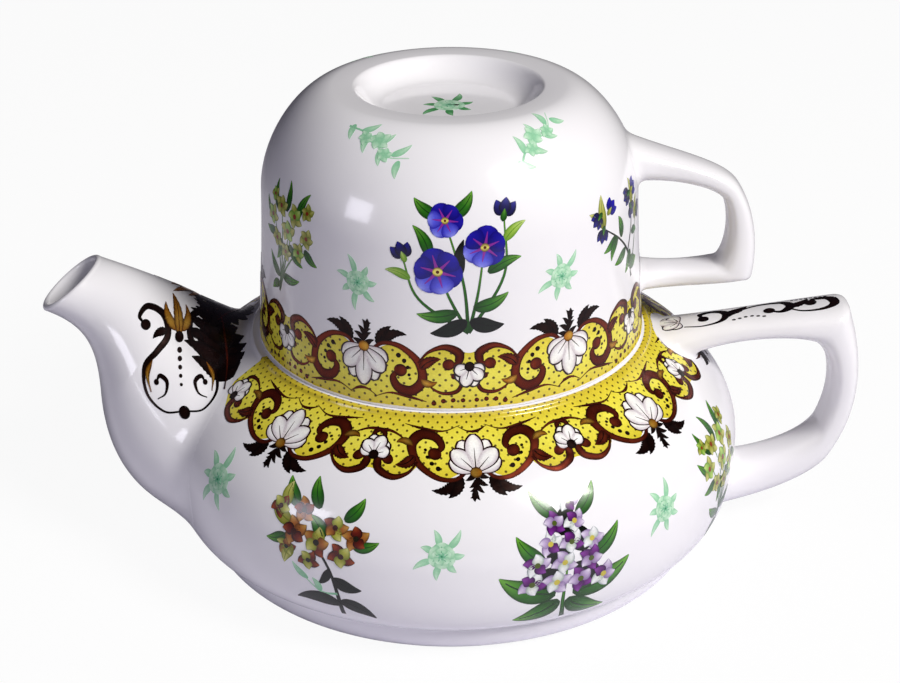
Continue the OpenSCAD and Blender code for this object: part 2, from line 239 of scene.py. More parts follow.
# Bare porcelain where the glaze was wiped away: matt, a shade darker, with a fine grain.
GRIT = 1 / 0.0005
biscuit, tree = finish_of("bare_fired_porcelain")
place = node(tree, "ShaderNodeTexCoord").outputs["Object"]
grain = node(tree, "ShaderNodeTexNoise", {"Vector": place, "Scale": GRIT, "Detail": 4.0})
tone = node(tree, "ShaderNodeMix", {
    "Factor": grain.outputs["Fac"], "A": linear("C9C6D8"), "B": linear("DAD8E4"),
}, data_type="RGBA")
rough = node(tree, "ShaderNodeBump", {"Height": grain.outputs["Fac"], "Strength": 0.3, "Distance": 0.0001})
body = node(tree, "ShaderNodeBsdfPrincipled", {
    "Base Color": tone.outputs["Result"], "Normal": rough.outputs["Normal"], "Roughness": 0.6, "IOR": 1.5,
})
node(tree, "ShaderNodeOutputMaterial", {"Surface": body.outputs["BSDF"]})

foot_in = FOOT_R - FOOT_RING_W
pot_under = soften([
    [0, FOOT_HOLLOW], [foot_in - FOOT_HOLLOW, FOOT_HOLLOW], [foot_in, 0], [FOOT_R, 0], [FOOT_R, 0.5]
], 0.45)
pot_top = soften([
    [LEDGE_R + EDGE_R / 2, SEAT_Z - EDGE_R], [LEDGE_R, SEAT_Z], [DECK_R, SEAT_Z], [DECK_R, DECK_Z],
    [STEP_R + EDGE_R, DECK_Z], [STEP_R, DECK_Z - EDGE_R], [STEP_R, STEP_Z], [MOUTH_R, STEP_Z],
    [MOUTH_R, CEILING_Z], [DECK_R - POT_WALL, CEILING_Z],
], 0.3)
wall_line = inset(chain(belly_low, belly_high), POT_WALL)
wall_line = wall_line[(wall_line[:, 1] > FLOOR_Z + 5) & (wall_line[:, 1] < CEILING_Z - 1.5)]
flat_r = GROOVE_R - POT_WALL - 6
pot_bend = cubic(
    [flat_r, FLOOR_Z], [flat_r + 5, FLOOR_Z],
    wall_line[0] + 8 * (wall_line[0] - wall_line[1]), wall_line[0], 8,
)
pot_inside = chain(pot_bend, wall_line)[::-1]
pot_profile = chain(pot_under, pot_outside, pot_top, pot_inside, [[0, FLOOR_Z]])
pot_body = piece("pot_body", [revolve(pot_profile)], porcelain, "teapot")

# Spout
# The spout is cast with the body, hollow, and wide where it leaves it. Its root runs out on the belly in a
# soft cove, and the rim of its mouth is thin and rounded.
SPOUT_REACH, LIP_Z, MOUTH_L, MOUTH_TILT, MOUTH_W = 95.4, 58.3, 17.6, math.radians(37), 20.0
NECK_X, NECK_Z = 83.7, 45.0
SPOUT_ROOT_W, SPOUT_ROOT_Z, SPOUT_WALL = 62.0, 6.0, 2.6
SPOUT_SIDES, SPOUT_STEPS = 96, 160
COVE_ROWS, COVE_PULL, TUCK_ON, TUCK_UNDER = 14, 0.42, 0.5, 0.12


def radius_at(line, z):
    """Radius of a profile at a height."""
    return np.interp(z, line[:, 1], line[:, 0])


def nearest_on(line, points):
    """For points in space: the nearest point of a turned profile, and the distance to it, positive
    outside."""
    radius = np.hypot(points[..., 0], points[..., 1])
    flat = np.stack([radius, points[..., 2]], -1)[..., None, :]
    start, run = line[:-1], np.diff(line, axis=0)
    along = np.clip(((flat - start) * run).sum(-1) / (run**2).sum(-1), 0, 1)
    foot = start + along[..., None] * run
    gap = np.linalg.norm(flat - foot, axis=-1)
    best = gap.argmin(-1)[..., None]
    foot = np.take_along_axis(foot, best[..., None], -2)[..., 0, :]
    gap = np.take_along_axis(gap, best, -1)[..., 0]
    out = np.take_along_axis(
        run[:, 1] * (flat[..., 0] - start[:, 0]) - run[:, 0] * (flat[..., 1] - start[:, 1]), best, -1
    )[..., 0]
    turn = foot[..., 0] / np.maximum(radius, 1e-6)
    nearest = np.stack([points[..., 0] * turn, points[..., 1] * turn, foot[..., 1]], -1)
    return nearest, np.where(out > 0, gap, -gap)


def unit(vectors):
    """Vectors at length 1."""
    return vectors / np.maximum(np.linalg.norm(vectors, axis=-1, keepdims=True), 1e-9)


def surface_normal(line, points):
    """Outward normal of a turned profile at points that lie on it, from its slope on either side."""
    step = np.array([0, 0, 0.05])
    above, _ = nearest_on(line, points + step)
    below, _ = nearest_on(line, points - step)
    up = unit(above - below)
    round_axis = unit(np.stack([-points[..., 1], points[..., 0], 0 * points[..., 0]], -1))
    return unit(np.cross(round_axis, up))


def cut_at(grid, line, clearance):
    """Rows of a grid run from a free end towards a turned body. Each column is cut where it first comes
    within clearance of the body and its rows are spread evenly again. Also gives the direction at the cut."""
    _, gap = nearest_on(line, grid)
    inside = gap < clearance
    hit = np.where(inside.any(0), inside.argmax(0), len(grid) - 1)
    column = np.arange(grid.shape[1])
    before, after = gap[hit - 1, column], gap[hit, column]
    share = np.clip((before - clearance) / np.maximum(before - after, 1e-9), 0, 1)
    end = hit - 1 + share
    where = np.linspace(0, 1, len(grid))[:, None] * end
    low = np.minimum(where.astype(int), len(grid) - 2)
    part = (where - low)[..., None]
    rows = grid[low, column] * (1 - part) + grid[low + 1, column] * part
    return rows, unit(rows[-1] - rows[-3])


def cove(grid, line, clearance, spread):
    """A grid that runs to a turned body, cut at clearance and led on in a cubic cove that lands on the body
    and lies in its surface there. Its last row is tucked just under the glaze."""
    stem, heading = cut_at(grid, line, clearance)
    end = stem[-1]
    outward = unit(end - end.mean(0))
    under, gap = nearest_on(line, end)
    normal = surface_normal(line, under)
    sink = np.clip(-(heading * normal).sum(-1), 0.35, 1)[:, None]
    reach = end + heading * gap[:, None] / sink
    side = unit(outward - (outward * normal).sum(-1)[:, None] * normal)
    landing, _ = nearest_on(line, reach + side * np.broadcast_to(spread, len(end))[:, None])
    normal = surface_normal(line, landing)
    away = landing - nearest_on(line, reach)[0]
    away = unit(away - (away * normal).sum(-1)[:, None] * normal)
    pull = np.linalg.norm(landing - end, axis=-1)[:, None] * COVE_PULL
    t = np.linspace(0, 1, COVE_ROWS + 1)[1:, None, None]
    u = 1 - t
    bend = (u**3 * end + 3 * t * u**2 * (end + heading * pull)
            + 3 * t**2 * u * (landing - away * pull) + t**3 * landing)
    tuck = landing + away * TUCK_ON - normal * TUCK_UNDER
    return np.concatenate([stem, bend, tuck[None]])


lip = np.array([SPOUT_REACH, LIP_Z])
lip_back = lip + MOUTH_L * np.array([-math.cos(MOUTH_TILT), math.sin(MOUTH_TILT)])
root = np.array([radius_at(pot_outside, SPOUT_ROOT_Z) - 2, SPOUT_ROOT_Z])
spout_low = chain(
    cubic(
        root, [root[0] + 0.62 * (NECK_X - root[0]), root[1] + 2.5],
        [NECK_X, root[1] + 0.36 * (NECK_Z - 8 - root[1])], [NECK_X, NECK_Z - 8], SPOUT_STEPS // 2,
    ),
    cubic(
        [NECK_X, NECK_Z - 8], [NECK_X, NECK_Z + 4],
        [NECK_X + 0.17 * (SPOUT_REACH - NECK_X), LIP_Z - 4.5], lip, SPOUT_STEPS // 2,
    ),
)[::-1]
spout_high = cubic(
    [DECK_R + 3.5, SEAT_Z - 4.5], [DECK_R + 16, SEAT_Z + 2.8], lip_back - [12, 4], lip_back, SPOUT_STEPS
)[::-1]
spout_half = cubic(
    [SPOUT_ROOT_W / 2 + 2, 0], [SPOUT_ROOT_W / 2 - 4, 0], [MOUTH_W / 2 - 2, 0], [MOUTH_W / 2, 0], SPOUT_STEPS
)[::-1, 0]


def sweep(low, high, half, sides, square):
    """Rings of a superellipse that runs across from low to high and half its width to each side."""
    a = np.linspace(0, 2 * math.pi, sides, endpoint=False)
    up = np.sign(np.cos(a)) * np.abs(np.cos(a)) ** (2 / square)
    out = np.sign(np.sin(a)) * np.abs(np.sin(a)) ** (2 / square)
    middle = (low + high)[:, None, :] / 2 + up[None, :, None] * (high - low)[:, None, :] / 2
    return np.stack([middle[..., 0], out[None, :] * np.asarray(half)[:, None], middle[..., 1]], -1)


LIP_THINNING = 0.35
wall = SPOUT_WALL * (1 - LIP_THINNING * np.linspace(1, 0, SPOUT_STEPS + 1))
across = (spout_high - spout_low) / np.linalg.norm(spout_high - spout_low, axis=1)[:, None]
outer = sweep(spout_low, spout_high, spout_half, SPOUT_SIDES, 2)
inner = sweep(
    spout_low + wall[:, None] * across, spout_high - wall[:, None] * across, spout_half - wall, SPOUT_SIDES, 2
)
around = np.linspace(0, 2 * math.pi, SPOUT_SIDES, endpoint=False)
SPOUT_COVE, SPOUT_SPREAD = 5.0, 7.0
spout_outside = cove(outer, pot_outside, SPOUT_COVE, SPOUT_SPREAD * (0.62 - 0.38 * np.cos(around) * 0.6))
spout_channel, _ = cut_at(inner, pot_outside, -0.6)
mouth_out = np.array([math.sin(MOUTH_TILT), 0, math.cos(MOUTH_TILT)])
lip_t = np.linspace(0, math.pi, 9)[1:-1, None, None]
lip_middle, lip_arm = (outer[0] + inner[0]) / 2, (outer[0] - inner[0]) / 2
lip_round = lip_middle - np.cos(lip_t) * lip_arm + np.sin(lip_t) * mouth_out * wall[0] / 2
spout_skin = np.concatenate([spout_channel[::-1], lip_round, spout_outside])
spout_skin[..., 0] *= -1
piece(
    "spout", [(spout_skin.reshape(-1, 3), [grid_faces(len(spout_skin), SPOUT_SIDES, closed_rows=True)])],
    porcelain,
)

# Strainer
# Nineteen holes are pierced through the soft body behind the spout to hold back the leaves: one in the middle
# and rings of six and twelve round it.
STRAIN_D, STRAIN_PITCH, STRAIN_RINGS, STRAIN_Z = 2.0, 6.0, 2, BELLY_Z + 3
STRAIN_SIDES, STRAIN_FROM, STRAIN_TO = 16, 54.0, BELLY_R + 1
hole_turn = np.linspace(0, 2 * math.pi, STRAIN_SIDES, endpoint=False)
circle = STRAIN_D / 2 * np.stack([np.cos(hole_turn), np.sin(hole_turn)], 1)
ring_no = np.repeat(np.arange(STRAIN_RINGS + 1), [1] + [6 * ring for ring in range(1, STRAIN_RINGS + 1)])
round_no = np.concatenate([np.arange(max(6 * ring, 1)) for ring in range(STRAIN_RINGS + 1)])
hole_a = np.radians(60.0) * round_no / np.maximum(ring_no, 1)
middles = ring_no[:, None] * STRAIN_PITCH * np.stack([np.cos(hole_a), np.sin(hole_a)], 1)
across = middles[:, None] + circle
pins = np.stack(np.broadcast_arrays(
    -np.array([STRAIN_FROM, STRAIN_TO])[None, :, None], across[:, None, :, 0],
    STRAIN_Z + across[:, None, :, 1],
), -1).reshape(-1, 3)
ends = np.arange(STRAIN_SIDES)
pin_faces = grid_faces(2, STRAIN_SIDES).tolist() + [ends[::-1].tolist(), (ends + STRAIN_SIDES).tolist()]
pin_mesh = bpy.data.meshes.new("pins")
pin_mesh.from_pydata((pins * MM).tolist(), [], [
    [corner + 2 * STRAIN_SIDES * k for corner in face] for k in range(len(middles)) for face in pin_faces
])
face_outwards(pin_mesh)
pin_set = bpy.data.objects.new("pins", pin_mesh)
bpy.context.scene.collection.objects.link(pin_set)
pierce = pot_body.modifiers.new("strainer", "BOOLEAN")
pierce.operation, pierce.solver, pierce.object = "DIFFERENCE", "EXACT", pin_set
bpy.context.view_layer.update()
pierced = bpy.data.meshes.new_from_object(pot_body.evaluated_get(bpy.context.evaluated_depsgraph_get()))
pot_body.modifiers.clear()
pot_body.data = pierced
bpy.data.objects.remove(pin_set)

# The foot ring's underside is bare of glaze.
BARE_Z = 0.3
pot_body.data.materials.append(biscuit)
centres = np.empty(3 * len(pierced.polygons))
pierced.polygons.foreach_get("center", centres)
bare = (centres[2::3] < BARE_Z * MM).astype(np.int32)
pierced.polygons.foreach_set("material_index", bare)

# Pot handle
# The handle is cast with the body: a flat strap runs out to a square thumb corner, and a rounder grip
# drops from it and turns back into the belly. Both ends spread into the body.
HANDLE_REACH, THUMB_Z, THUMB_W = 97.0, 57.4, 15.0
GRIP_W, GRIP_T, STRAP_T = 12.5, 6.6, 5.6
HANDLE_SIDES, HANDLE_STEPS, CORNER_STEPS = 48, 26, 8
THUMB_STEP, STRAP_SQUARE = HANDLE_STEPS + CORNER_STEPS // 2, 2.6


def strung(points_list):
    """Curves joined end to end, keeping every point but the first of each that follows."""
    return np.concatenate([points_list[0]] + [points[1:] for points in points_list[1:]])


corner = np.array([HANDLE_REACH - 4, THUMB_Z])
strap_root = np.array([DECK_R + 5, SEAT_Z - 2.4])
side = np.array([HANDLE_REACH - 6.2, BELLY_Z - 10.5])
tail = np.array([radius_at(pot_outside, 4) - 2, 3.5])
outer_line = strung([
    cubic(strap_root, strap_root + [14, 3], corner - [15, 2], corner - [1.5, 0], HANDLE_STEPS),
    cubic(corner - [1.5, 0], corner + [0, 0.1], corner + [0.7, -0.3], corner + [0.9, -1.6], CORNER_STEPS),
    cubic(corner + [0.9, -1.6], [HANDLE_REACH + 0.4, THUMB_Z - 12],
          [HANDLE_REACH + 3, BELLY_Z + 4], side, HANDLE_STEPS),
    cubic(side, side - [6, 7], tail + [13, 1.2], tail, HANDLE_STEPS),
])
in_root = strap_root + [6, -STRAP_T - 1.8]
in_corner = corner + [-7.4, -STRAP_T - 3.6]
in_side = side + [-GRIP_T * 0.3, GRIP_T * 1.55]
in_tail = tail + [0, 10.8]
inner_line = strung([
    cubic(in_root, in_root + [9, 5.4], in_corner - [6, -2.5], in_corner, HANDLE_STEPS),
    cubic(in_corner, in_corner + [0.5, -0.25],
          in_corner + [1.1, -0.7], in_corner + [1.5, -1.1], CORNER_STEPS),
    cubic(in_corner + [1.5, -1.1], [HANDLE_REACH - GRIP_T + 0.2, THUMB_Z - 14],
          [HANDLE_REACH - GRIP_T + 1.6, BELLY_Z + 9], in_side, HANDLE_STEPS),
    cubic(in_side, in_side - [2.8, 6], in_tail + [15, 0.8], in_tail, HANDLE_STEPS),
])


def width_run(a, b, c, d, steps):
    """Half widths that follow a cubic curve."""
    return cubic([a], [b], [c], [d], steps)[:, 0]


half_line = strung([
    width_run(9.5, 3.6, THUMB_W / 2 - 0.5, THUMB_W / 2, HANDLE_STEPS),
    width_run(THUMB_W / 2, THUMB_W / 2, THUMB_W / 2, THUMB_W / 2, CORNER_STEPS),
    width_run(THUMB_W / 2, THUMB_W / 2 - 0.5, GRIP_W / 2, GRIP_W / 2, HANDLE_STEPS),
    width_run(GRIP_W / 2, GRIP_W / 2, GRIP_W / 2, GRIP_W / 2 + 3.5, HANDLE_STEPS),
])


def rooted_handle(grid, line, middle, coves, spreads):
    """A handle's rings, with both ends led into a turned body, and a point under the glaze that closes each
    end."""
    first = cove(grid[:middle + 1][::-1], line, coves[0], spreads[0])[::-1]
    second = cove(grid[middle:], line, coves[1], spreads[1])
    rings = np.concatenate([first, second[1:]])
    ends = np.array([first[0].mean(0), second[-1].mean(0)])
    feet, _ = nearest_on(line, ends)
    ends = feet - surface_normal(line, feet) * 1.0
    size = rings.shape[:2]
    return np.concatenate([rings.reshape(-1, 3), ends]), [grid_faces(*size), end_fans(*size)]


pot_grid = sweep(inner_line, outer_line, half_line, HANDLE_SIDES, STRAP_SQUARE)
piece(
    "pot_handle", [rooted_handle(pot_grid, pot_outside, THUMB_STEP, (2.6, 3.4), (2.2, 3.4))],
    porcelain,
)

# Lid
# A turned inner lid with a knob lies in the pot's mouth, out of sight under the cup.
# It keeps its own solid and takes the same clear glaze.
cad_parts["lid"].data.materials.clear()
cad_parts["lid"].data.materials.append(porcelain)

# Cup
# The cup is slip-cast in the same porcelain, with a thin wall and a dished foot, and is glazed all over. It
# stands upside down on the pot's ledge.
RIM_R, CUP_H, CUP_WALL = 45.0, 58.4, 2.8
CUP_WALL_R, CUP_WALL_H, CUP_FOOT_R = 42.8, 36.0, 26.0
DISH_R, DISH_H, CUP_FLOOR = 20.6, 5.0, 3.4
dish_z = CUP_H - DISH_H
cup_floor_z = dish_z - CUP_FLOOR
cup_side = cubic(
    [RIM_R, EDGE_R], [RIM_R - 0.36 * (RIM_R - CUP_WALL_R), 0.28 * CUP_WALL_H],
    [CUP_WALL_R + 0.4, 0.67 * CUP_WALL_H], [CUP_WALL_R, CUP_WALL_H], 40,
)
cup_shoulder = cubic(
    [CUP_WALL_R, CUP_WALL_H], [CUP_WALL_R - 0.4, CUP_WALL_H + 0.47 * (CUP_H - CUP_WALL_H)],
    [CUP_FOOT_R + 0.45 * (CUP_WALL_R - CUP_FOOT_R), CUP_H], [CUP_FOOT_R, CUP_H], 56,
)
dish_side = cubic(
    [DISH_R + 1, CUP_H], [DISH_R - 0.5, CUP_H], [DISH_R - 1.5, dish_z], [DISH_R - 6, dish_z], 24
)
cup_outside = chain(cup_side, cup_shoulder)
cup_wall_in = inset(cup_outside, CUP_WALL)
cup_wall_in = cup_wall_in[cup_wall_in[:, 1] < cup_floor_z]
cup_bend = cubic(
    cup_wall_in[-1], cup_wall_in[-1] + 6 * (cup_wall_in[-1] - cup_wall_in[-2]),
    [DISH_R + 3, cup_floor_z + 4], [DISH_R - 1, cup_floor_z + 1.2], 12,
)
rim_in = RIM_R - CUP_WALL
cup_lip = soften([[rim_in, 2 * EDGE_R], [rim_in, 0], [RIM_R, 0], [RIM_R, EDGE_R]], 0.6)
up = np.array([0, SEAT_Z])
cup_profile = chain(
    [[0, cup_floor_z], [DISH_R - 7, cup_floor_z]], cup_bend[::-1],
    cup_wall_in[cup_wall_in[:, 1] > 2 * EDGE_R][::-1], cup_lip, cup_outside, dish_side, [[0, dish_z]],
) + up
piece("cup_body", [revolve(cup_profile)], porcelain, "cup")

# Cup handle
# A smaller handle of the same pattern, cast with its cup: a strap near the rim, a square corner and a loop
# back to the wall. It is above the pot's handle while the cup is on the pot.
CUP_REACH, CUP_THUMB_W, CUP_GRIP_W, CUP_STRAP_T, CUP_GRIP_T = 70.4, 12.0, 10.0, 4.4, 6.4
cup_line = cup_outside + up
corner = np.array([CUP_REACH - 0.4, 11.2])
strap_root = np.array([RIM_R - CUP_WALL / 2 - 0.4, 9.4])
side = np.array([CUP_REACH - 4.6, CUP_WALL_H - 1.5])
tail_h = CUP_WALL_H + 10.5
tail = np.array([radius_at(cup_outside, tail_h) - CUP_WALL / 2, tail_h])
low_line = strung([
    cubic(strap_root, strap_root + [8, 0], corner - [9, 1.2], corner - [1.6, -0.2], HANDLE_STEPS),
    cubic(corner - [1.6, -0.2], corner + [-0.6, 0.1], corner + [0, 0.5], corner + [0.1, 1.4], CORNER_STEPS),
    cubic(corner + [0.1, 1.4], [CUP_REACH + 0.4, CUP_WALL_H * 0.5],
          [CUP_REACH + 0.3, CUP_WALL_H * 0.76], side, HANDLE_STEPS),
    cubic(side, side + [-3.4, 5], tail + [10, -4.4], tail, HANDLE_STEPS),
])
in_root = strap_root + [0, CUP_STRAP_T + 0.6]
in_corner = corner + [-9, CUP_STRAP_T - 0.4]
in_side = side - CUP_GRIP_T * np.array([0.55, 0.5])
in_tail = np.array([radius_at(cup_outside, tail_h - 10.6) - CUP_WALL / 2, tail_h - 10.6])
high_line = strung([
    cubic(in_root, in_root + [6, 0.2], in_corner - [5, 1], in_corner, HANDLE_STEPS),
    cubic(in_corner, in_corner + [0.4, 0.2], in_corner + [0.9, 0.6], in_corner + [1.1, 1], CORNER_STEPS),
    cubic(in_corner + [1.1, 1], [CUP_REACH - CUP_GRIP_T + 0.3, CUP_WALL_H * 0.55],
          [CUP_REACH - CUP_GRIP_T + 0.2, CUP_WALL_H * 0.76], in_side, HANDLE_STEPS),
    cubic(in_side, in_side + [-2.6, 3.4], in_tail + [7, 0.8], in_tail, HANDLE_STEPS),
])
half_line = strung([
    width_run(CUP_GRIP_W / 2 + 2.5, CUP_GRIP_W / 2 - 2, CUP_THUMB_W / 2, CUP_THUMB_W / 2, HANDLE_STEPS),
    width_run(CUP_THUMB_W / 2, CUP_THUMB_W / 2, CUP_THUMB_W / 2, CUP_THUMB_W / 2, CORNER_STEPS),
    width_run(CUP_THUMB_W / 2, CUP_THUMB_W / 2, CUP_GRIP_W / 2, CUP_GRIP_W / 2, HANDLE_STEPS),
    width_run(CUP_GRIP_W / 2, CUP_GRIP_W / 2, CUP_GRIP_W / 2, CUP_GRIP_W / 2 + 2.5, HANDLE_STEPS),
])
grid = sweep(low_line + up, high_line + up, half_line, HANDLE_SIDES, STRAP_SQUARE)
piece(
    "cup_handle", [rooted_handle(grid, cup_line, THUMB_STEP, (1.8, 2.0), (1.6, 2.0))],
    porcelain,
)

# Printed ground of the pot
# A transfer of lemon enamel with brown dots runs round the shoulder under the ledge. It starts and ends
# beside the spout, its lower edge is scalloped, and it is fired into the glaze.
LIFT, SINK = 0.013, -0.3
SHARP_TURN = math.radians(35)


def turned_chart(line, zero):
    """Two charts of a turned surface, lifted off along its normal: one for points in mm right of and down
    from a spot (degrees round from the front, mm down the profile from zero), one for points in degrees and
    mm."""
    run = np.concatenate([[0], np.cumsum(np.hypot(*np.diff(line, axis=0).T))])

    def on(s):
        return np.stack([np.interp(s, run, line[:, 0]), np.interp(s, run, line[:, 1])])

    def place(a, s, lift):
        r, z = on(s)
        dr, dz = on(s + 0.3) - on(s - 0.3)
        slope = np.hypot(dr, dz)
        r, z = r - lift * dz / slope, z + lift * dr / slope
        return np.stack([r * np.sin(a), -r * np.cos(a), z], -1)

    def chart(spot, points, lift):
        s = zero + spot[1] + points[..., 1]
        return place(math.radians(spot[0]) + points[..., 0] / on(s)[0], s, lift)

    def ring(points, lift):
        return place(np.radians(points[..., 0]), zero + points[..., 1], lift)

    return chart, ring


def pose(chart, a, d, turn=0.0, size=1.0, flip=1):
    """A place on a chart for a motif that is drawn in mm: mirrored for flip -1, sized, and turned by
    degrees."""
    c, s = math.cos(math.radians(turn)), math.sin(math.radians(turn))
    matrix = np.array([[flip], [1]]) * size * np.array([[c, s], [-s, c]])
    return lambda points, lift: chart((a, d), points @ matrix, lift)


def slab(sheet, at, rows, paint, level=1):
    """A closed slab over a grid of flat points (rows, across, 2), painted per point. Its underside is coarser
    and lies deep in the glaze, so that it stays out of sight where the surface is hollow."""
    under = np.linspace(rows.shape[1] - 1, 0, max((rows.shape[1] + 3) // 4, 2)).round().astype(int)
    grid = np.concatenate([at(rows, LIFT * level), at(rows[:, under], SINK)], 1)
    count, across = grid.shape[:2]
    ring = np.arange(across)
    caps = np.stack([ring, ring[::-1] + (count - 1) * across])
    colour = np.broadcast_to(paint, (*rows.shape[:2], 3))
    colour = np.concatenate([colour, colour[:, under]], 1)
    spots = np.concatenate([rows, rows[:, under]], 1)
    sheet.append((
        grid.reshape(-1, 3), [grid_faces(count, across), caps], colour.reshape(-1, 3), spots.reshape(-1, 2)
    ))


def printed(name, sheet, material):
    """One piece from the slabs of a sheet. Its points carry their paint and their flat place in mm."""
    made = piece(name, [shell[:2] for shell in sheet], material)
    made.data.set_sharp_from_angle(angle=SHARP_TURN)
    paint = np.concatenate([shell[2] for shell in sheet])
    paint = np.concatenate([paint, np.ones((len(paint), 1))], 1)
    made.data.color_attributes.new("paint", "FLOAT_COLOR", "POINT").data.foreach_set("color", paint.ravel())
    spot = np.concatenate([shell[3] for shell in sheet])
    spot = np.concatenate([spot, np.zeros((len(spot), 1))], 1)
    made.data.attributes.new("spot", "FLOAT_VECTOR", "POINT").data.foreach_set("vector", spot.ravel())


def rgb(code):
    """A hex colour as a linear row."""
    return np.array(linear(code)[:3])


def shade(codes, t):
    """Colours of a ramp of hex codes at places t from 0 to 1."""
    ramp = np.array([rgb(code) for code in codes])
    return np.stack([np.interp(t, np.linspace(0, 1, len(ramp)), ramp[:, k]) for k in range(3)], -1)


def screened(tree, base):
    """A colour broken up a little, as a screened transfer is: a fine speckle over a slow cloud."""
    place = node(tree, "ShaderNodeTexCoord").outputs["Object"]
    speck = node(tree, "ShaderNodeTexNoise", {"Vector": place, "Scale": 1 / 0.0004, "Detail": 2.0})
    drift = node(tree, "ShaderNodeTexNoise", {"Vector": place, "Scale": 1 / 0.006, "Detail": 2.0})
    both = node(tree, "ShaderNodeMath", {0: speck.outputs["Fac"], 1: drift.outputs["Fac"]}, operation="ADD")
    gain = node(tree, "ShaderNodeMapRange", {
        "Value": both.outputs[0], "From Min": 0.6, "From Max": 1.4, "To Min": 0.86, "To Max": 1.12,
    })
    toned = node(tree, "ShaderNodeVectorMath", {0: base, "Scale": gain.outputs["Result"]}, operation="SCALE")
    return toned.outputs[0]


def glassy(tree, base):
    """The glassy body that every enamel shares: it has sunk into the glaze and shines nearly as much."""
    body = node(tree, "ShaderNodeBsdfPrincipled", {
        "Base Color": base, "Normal": glaze_waves(tree),
        "Roughness": 0.22, "IOR": 1.5, "Coat Weight": 0.3, "Coat Roughness": 0.06,
    })
    node(tree, "ShaderNodeOutputMaterial", {"Surface": body.outputs["BSDF"]})


# Dotted lemon enamel: screened on in two colours, with brown dots of 0.6 mm in staggered rows.
DOT_PITCH, DOT_R, DOT_BLUR = 1.75, 0.3, 0.06
dotted, tree = finish_of("dotted_lemon_enamel")
spot = node(tree, "ShaderNodeAttribute", attribute_name="spot").outputs["Vector"]
paint = node(tree, "ShaderNodeAttribute", attribute_name="paint").outputs["Color"]
askew = node(tree, "ShaderNodeMapping", {"Vector": spot, "Rotation": (0, 0, math.pi / 4)})
cells = node(tree, "ShaderNodeTexVoronoi", {
    "Vector": askew.outputs["Vector"], "Scale": 1 / DOT_PITCH, "Randomness": 0.04,
})
ink = node(tree, "ShaderNodeMapRange", {
    "Value": cells.outputs["Distance"], "From Min": (DOT_R + DOT_BLUR) / DOT_PITCH,
    "From Max": (DOT_R - DOT_BLUR) / DOT_PITCH, "To Max": 0.92,
})
spotted = node(tree, "ShaderNodeMix", {
    "Factor": ink.outputs["Result"], "A": paint, "B": linear("3A2608"),
}, data_type="RGBA")
glassy(tree, screened(tree, spotted.outputs["Result"]))

SCALLOP = chain(
    cubic([0, 11.4], [2.5, 11.4], [3.5, 14.7], [7.4, 14.7], 12),
    cubic([7.4, 14.7], [10, 14.7], [11.3, 12.6], [12.4, 11.8], 8),
    cubic([12.4, 11.8], [14, 14.4], [17, 15.2], [19.4, 14.4], 10),
    cubic([19.4, 14.4], [21, 13.4], [22, 13.2], [22.5, 13.2], 4),
)
LEMON = ["DCC636", "EBDD45", "F0E654", "EBDD45", "D9C733"]
ledge = np.array([[45.5, SEAT_Z], [LEDGE_R, SEAT_Z]])
pot_chart, pot_ring = turned_chart(chain(ledge, pot_outside[::-1]), 1.5)
POT_TURN, POT_UNIT, POT_UNIT_MM, POT_HEM = 5.0, 45.0, 45.0, 1.45
HEM_STEP, HEM_END = 0.2, 1.5
GROUND_STEPS, GROUND_ROWS, TAPER_A = 900, 28, 7.0
SPOUT_AT, GROUND_GAP = -90, 23


def ground(ring, span, turn, unit_a, unit_mm, straight, hem, sense, tapered):
    """A dotted ground between a scalloped edge that repeats with the unit and a straight one, a hem past the
    border's zero. It narrows at its two ends if tapered. sense is 1 for scallops below the straight edge, or
    -1."""
    a = np.linspace(*span, GROUND_STEPS)
    across = np.abs((a - turn + unit_a / 2) % unit_a - unit_a / 2) * unit_mm / unit_a
    width = np.interp(across, SCALLOP[:, 0], SCALLOP[:, 1])
    if tapered:
        width *= np.clip(0.3 + np.minimum(a - span[0], span[1] - a) / TAPER_A, 0, 1) ** 0.5
    near = np.arange(-hem, HEM_END, HEM_STEP) if hem else np.zeros(1)
    far = near[-1] + np.linspace(0, 1, GROUND_ROWS)[1:] * (width[:, None] - near[-1])
    reach = np.concatenate([np.broadcast_to(near, (len(a), len(near))), far], 1)
    rows = np.stack(np.broadcast_arrays(a[:, None], straight + sense * reach), -1)
    sheet = []
    slab(sheet, ring, rows, shade(LEMON, np.clip(reach / width[:, None], 0, 1)))
    points, faces, colour, spots = sheet[0]
    return [(points, faces, colour, spots * [unit_mm / unit_a, 1])]


pot_span = (SPOUT_AT + GROUND_GAP, SPOUT_AT + 360 - GROUND_GAP)
printed(
    "pot_ground", ground(pot_ring, pot_span, POT_TURN, POT_UNIT, POT_UNIT_MM, 0, POT_HEM, 1, True), dotted,
)

# Printed ground of the cup
# The same transfer goes all round the cup beside its rim, without a gap or a hem. It is upside down as the
# cup now stands, with its scallops pointing up the wall.
CUP_ZERO, CUP_BORDER = 45, 45.4
cup_run = np.hypot(*np.diff(cup_outside, axis=0).T).sum()
rim_corner = [[RIM_R, 0.6], [RIM_R - 0.08, 0.25]]
cup_chart, cup_ring = turned_chart(chain(cup_outside[::-1], rim_corner) + up, cup_run - CUP_ZERO)
CUP_TURN, CUP_UNIT, CUP_UNIT_MM = -25.0, 60.0, 45.0
printed(
    "cup_ground", ground(cup_ring, (-180, 180), CUP_TURN, CUP_UNIT, CUP_UNIT_MM, CUP_BORDER, 0, -1, False),
    dotted,
)

# Gilding of the pot
# Scrolls, white leaf fans and hanging dark leaves go over the ground in units, eight to the round without the
# one at the spout. They are transfers too, in a metal lustre whose dark red brown is partly its own colour
# and partly painted dark reflection. The lamp gleams on it as on metal, and its bright gold parts are a
# painted highlight.
STROKE_STEPS = 8


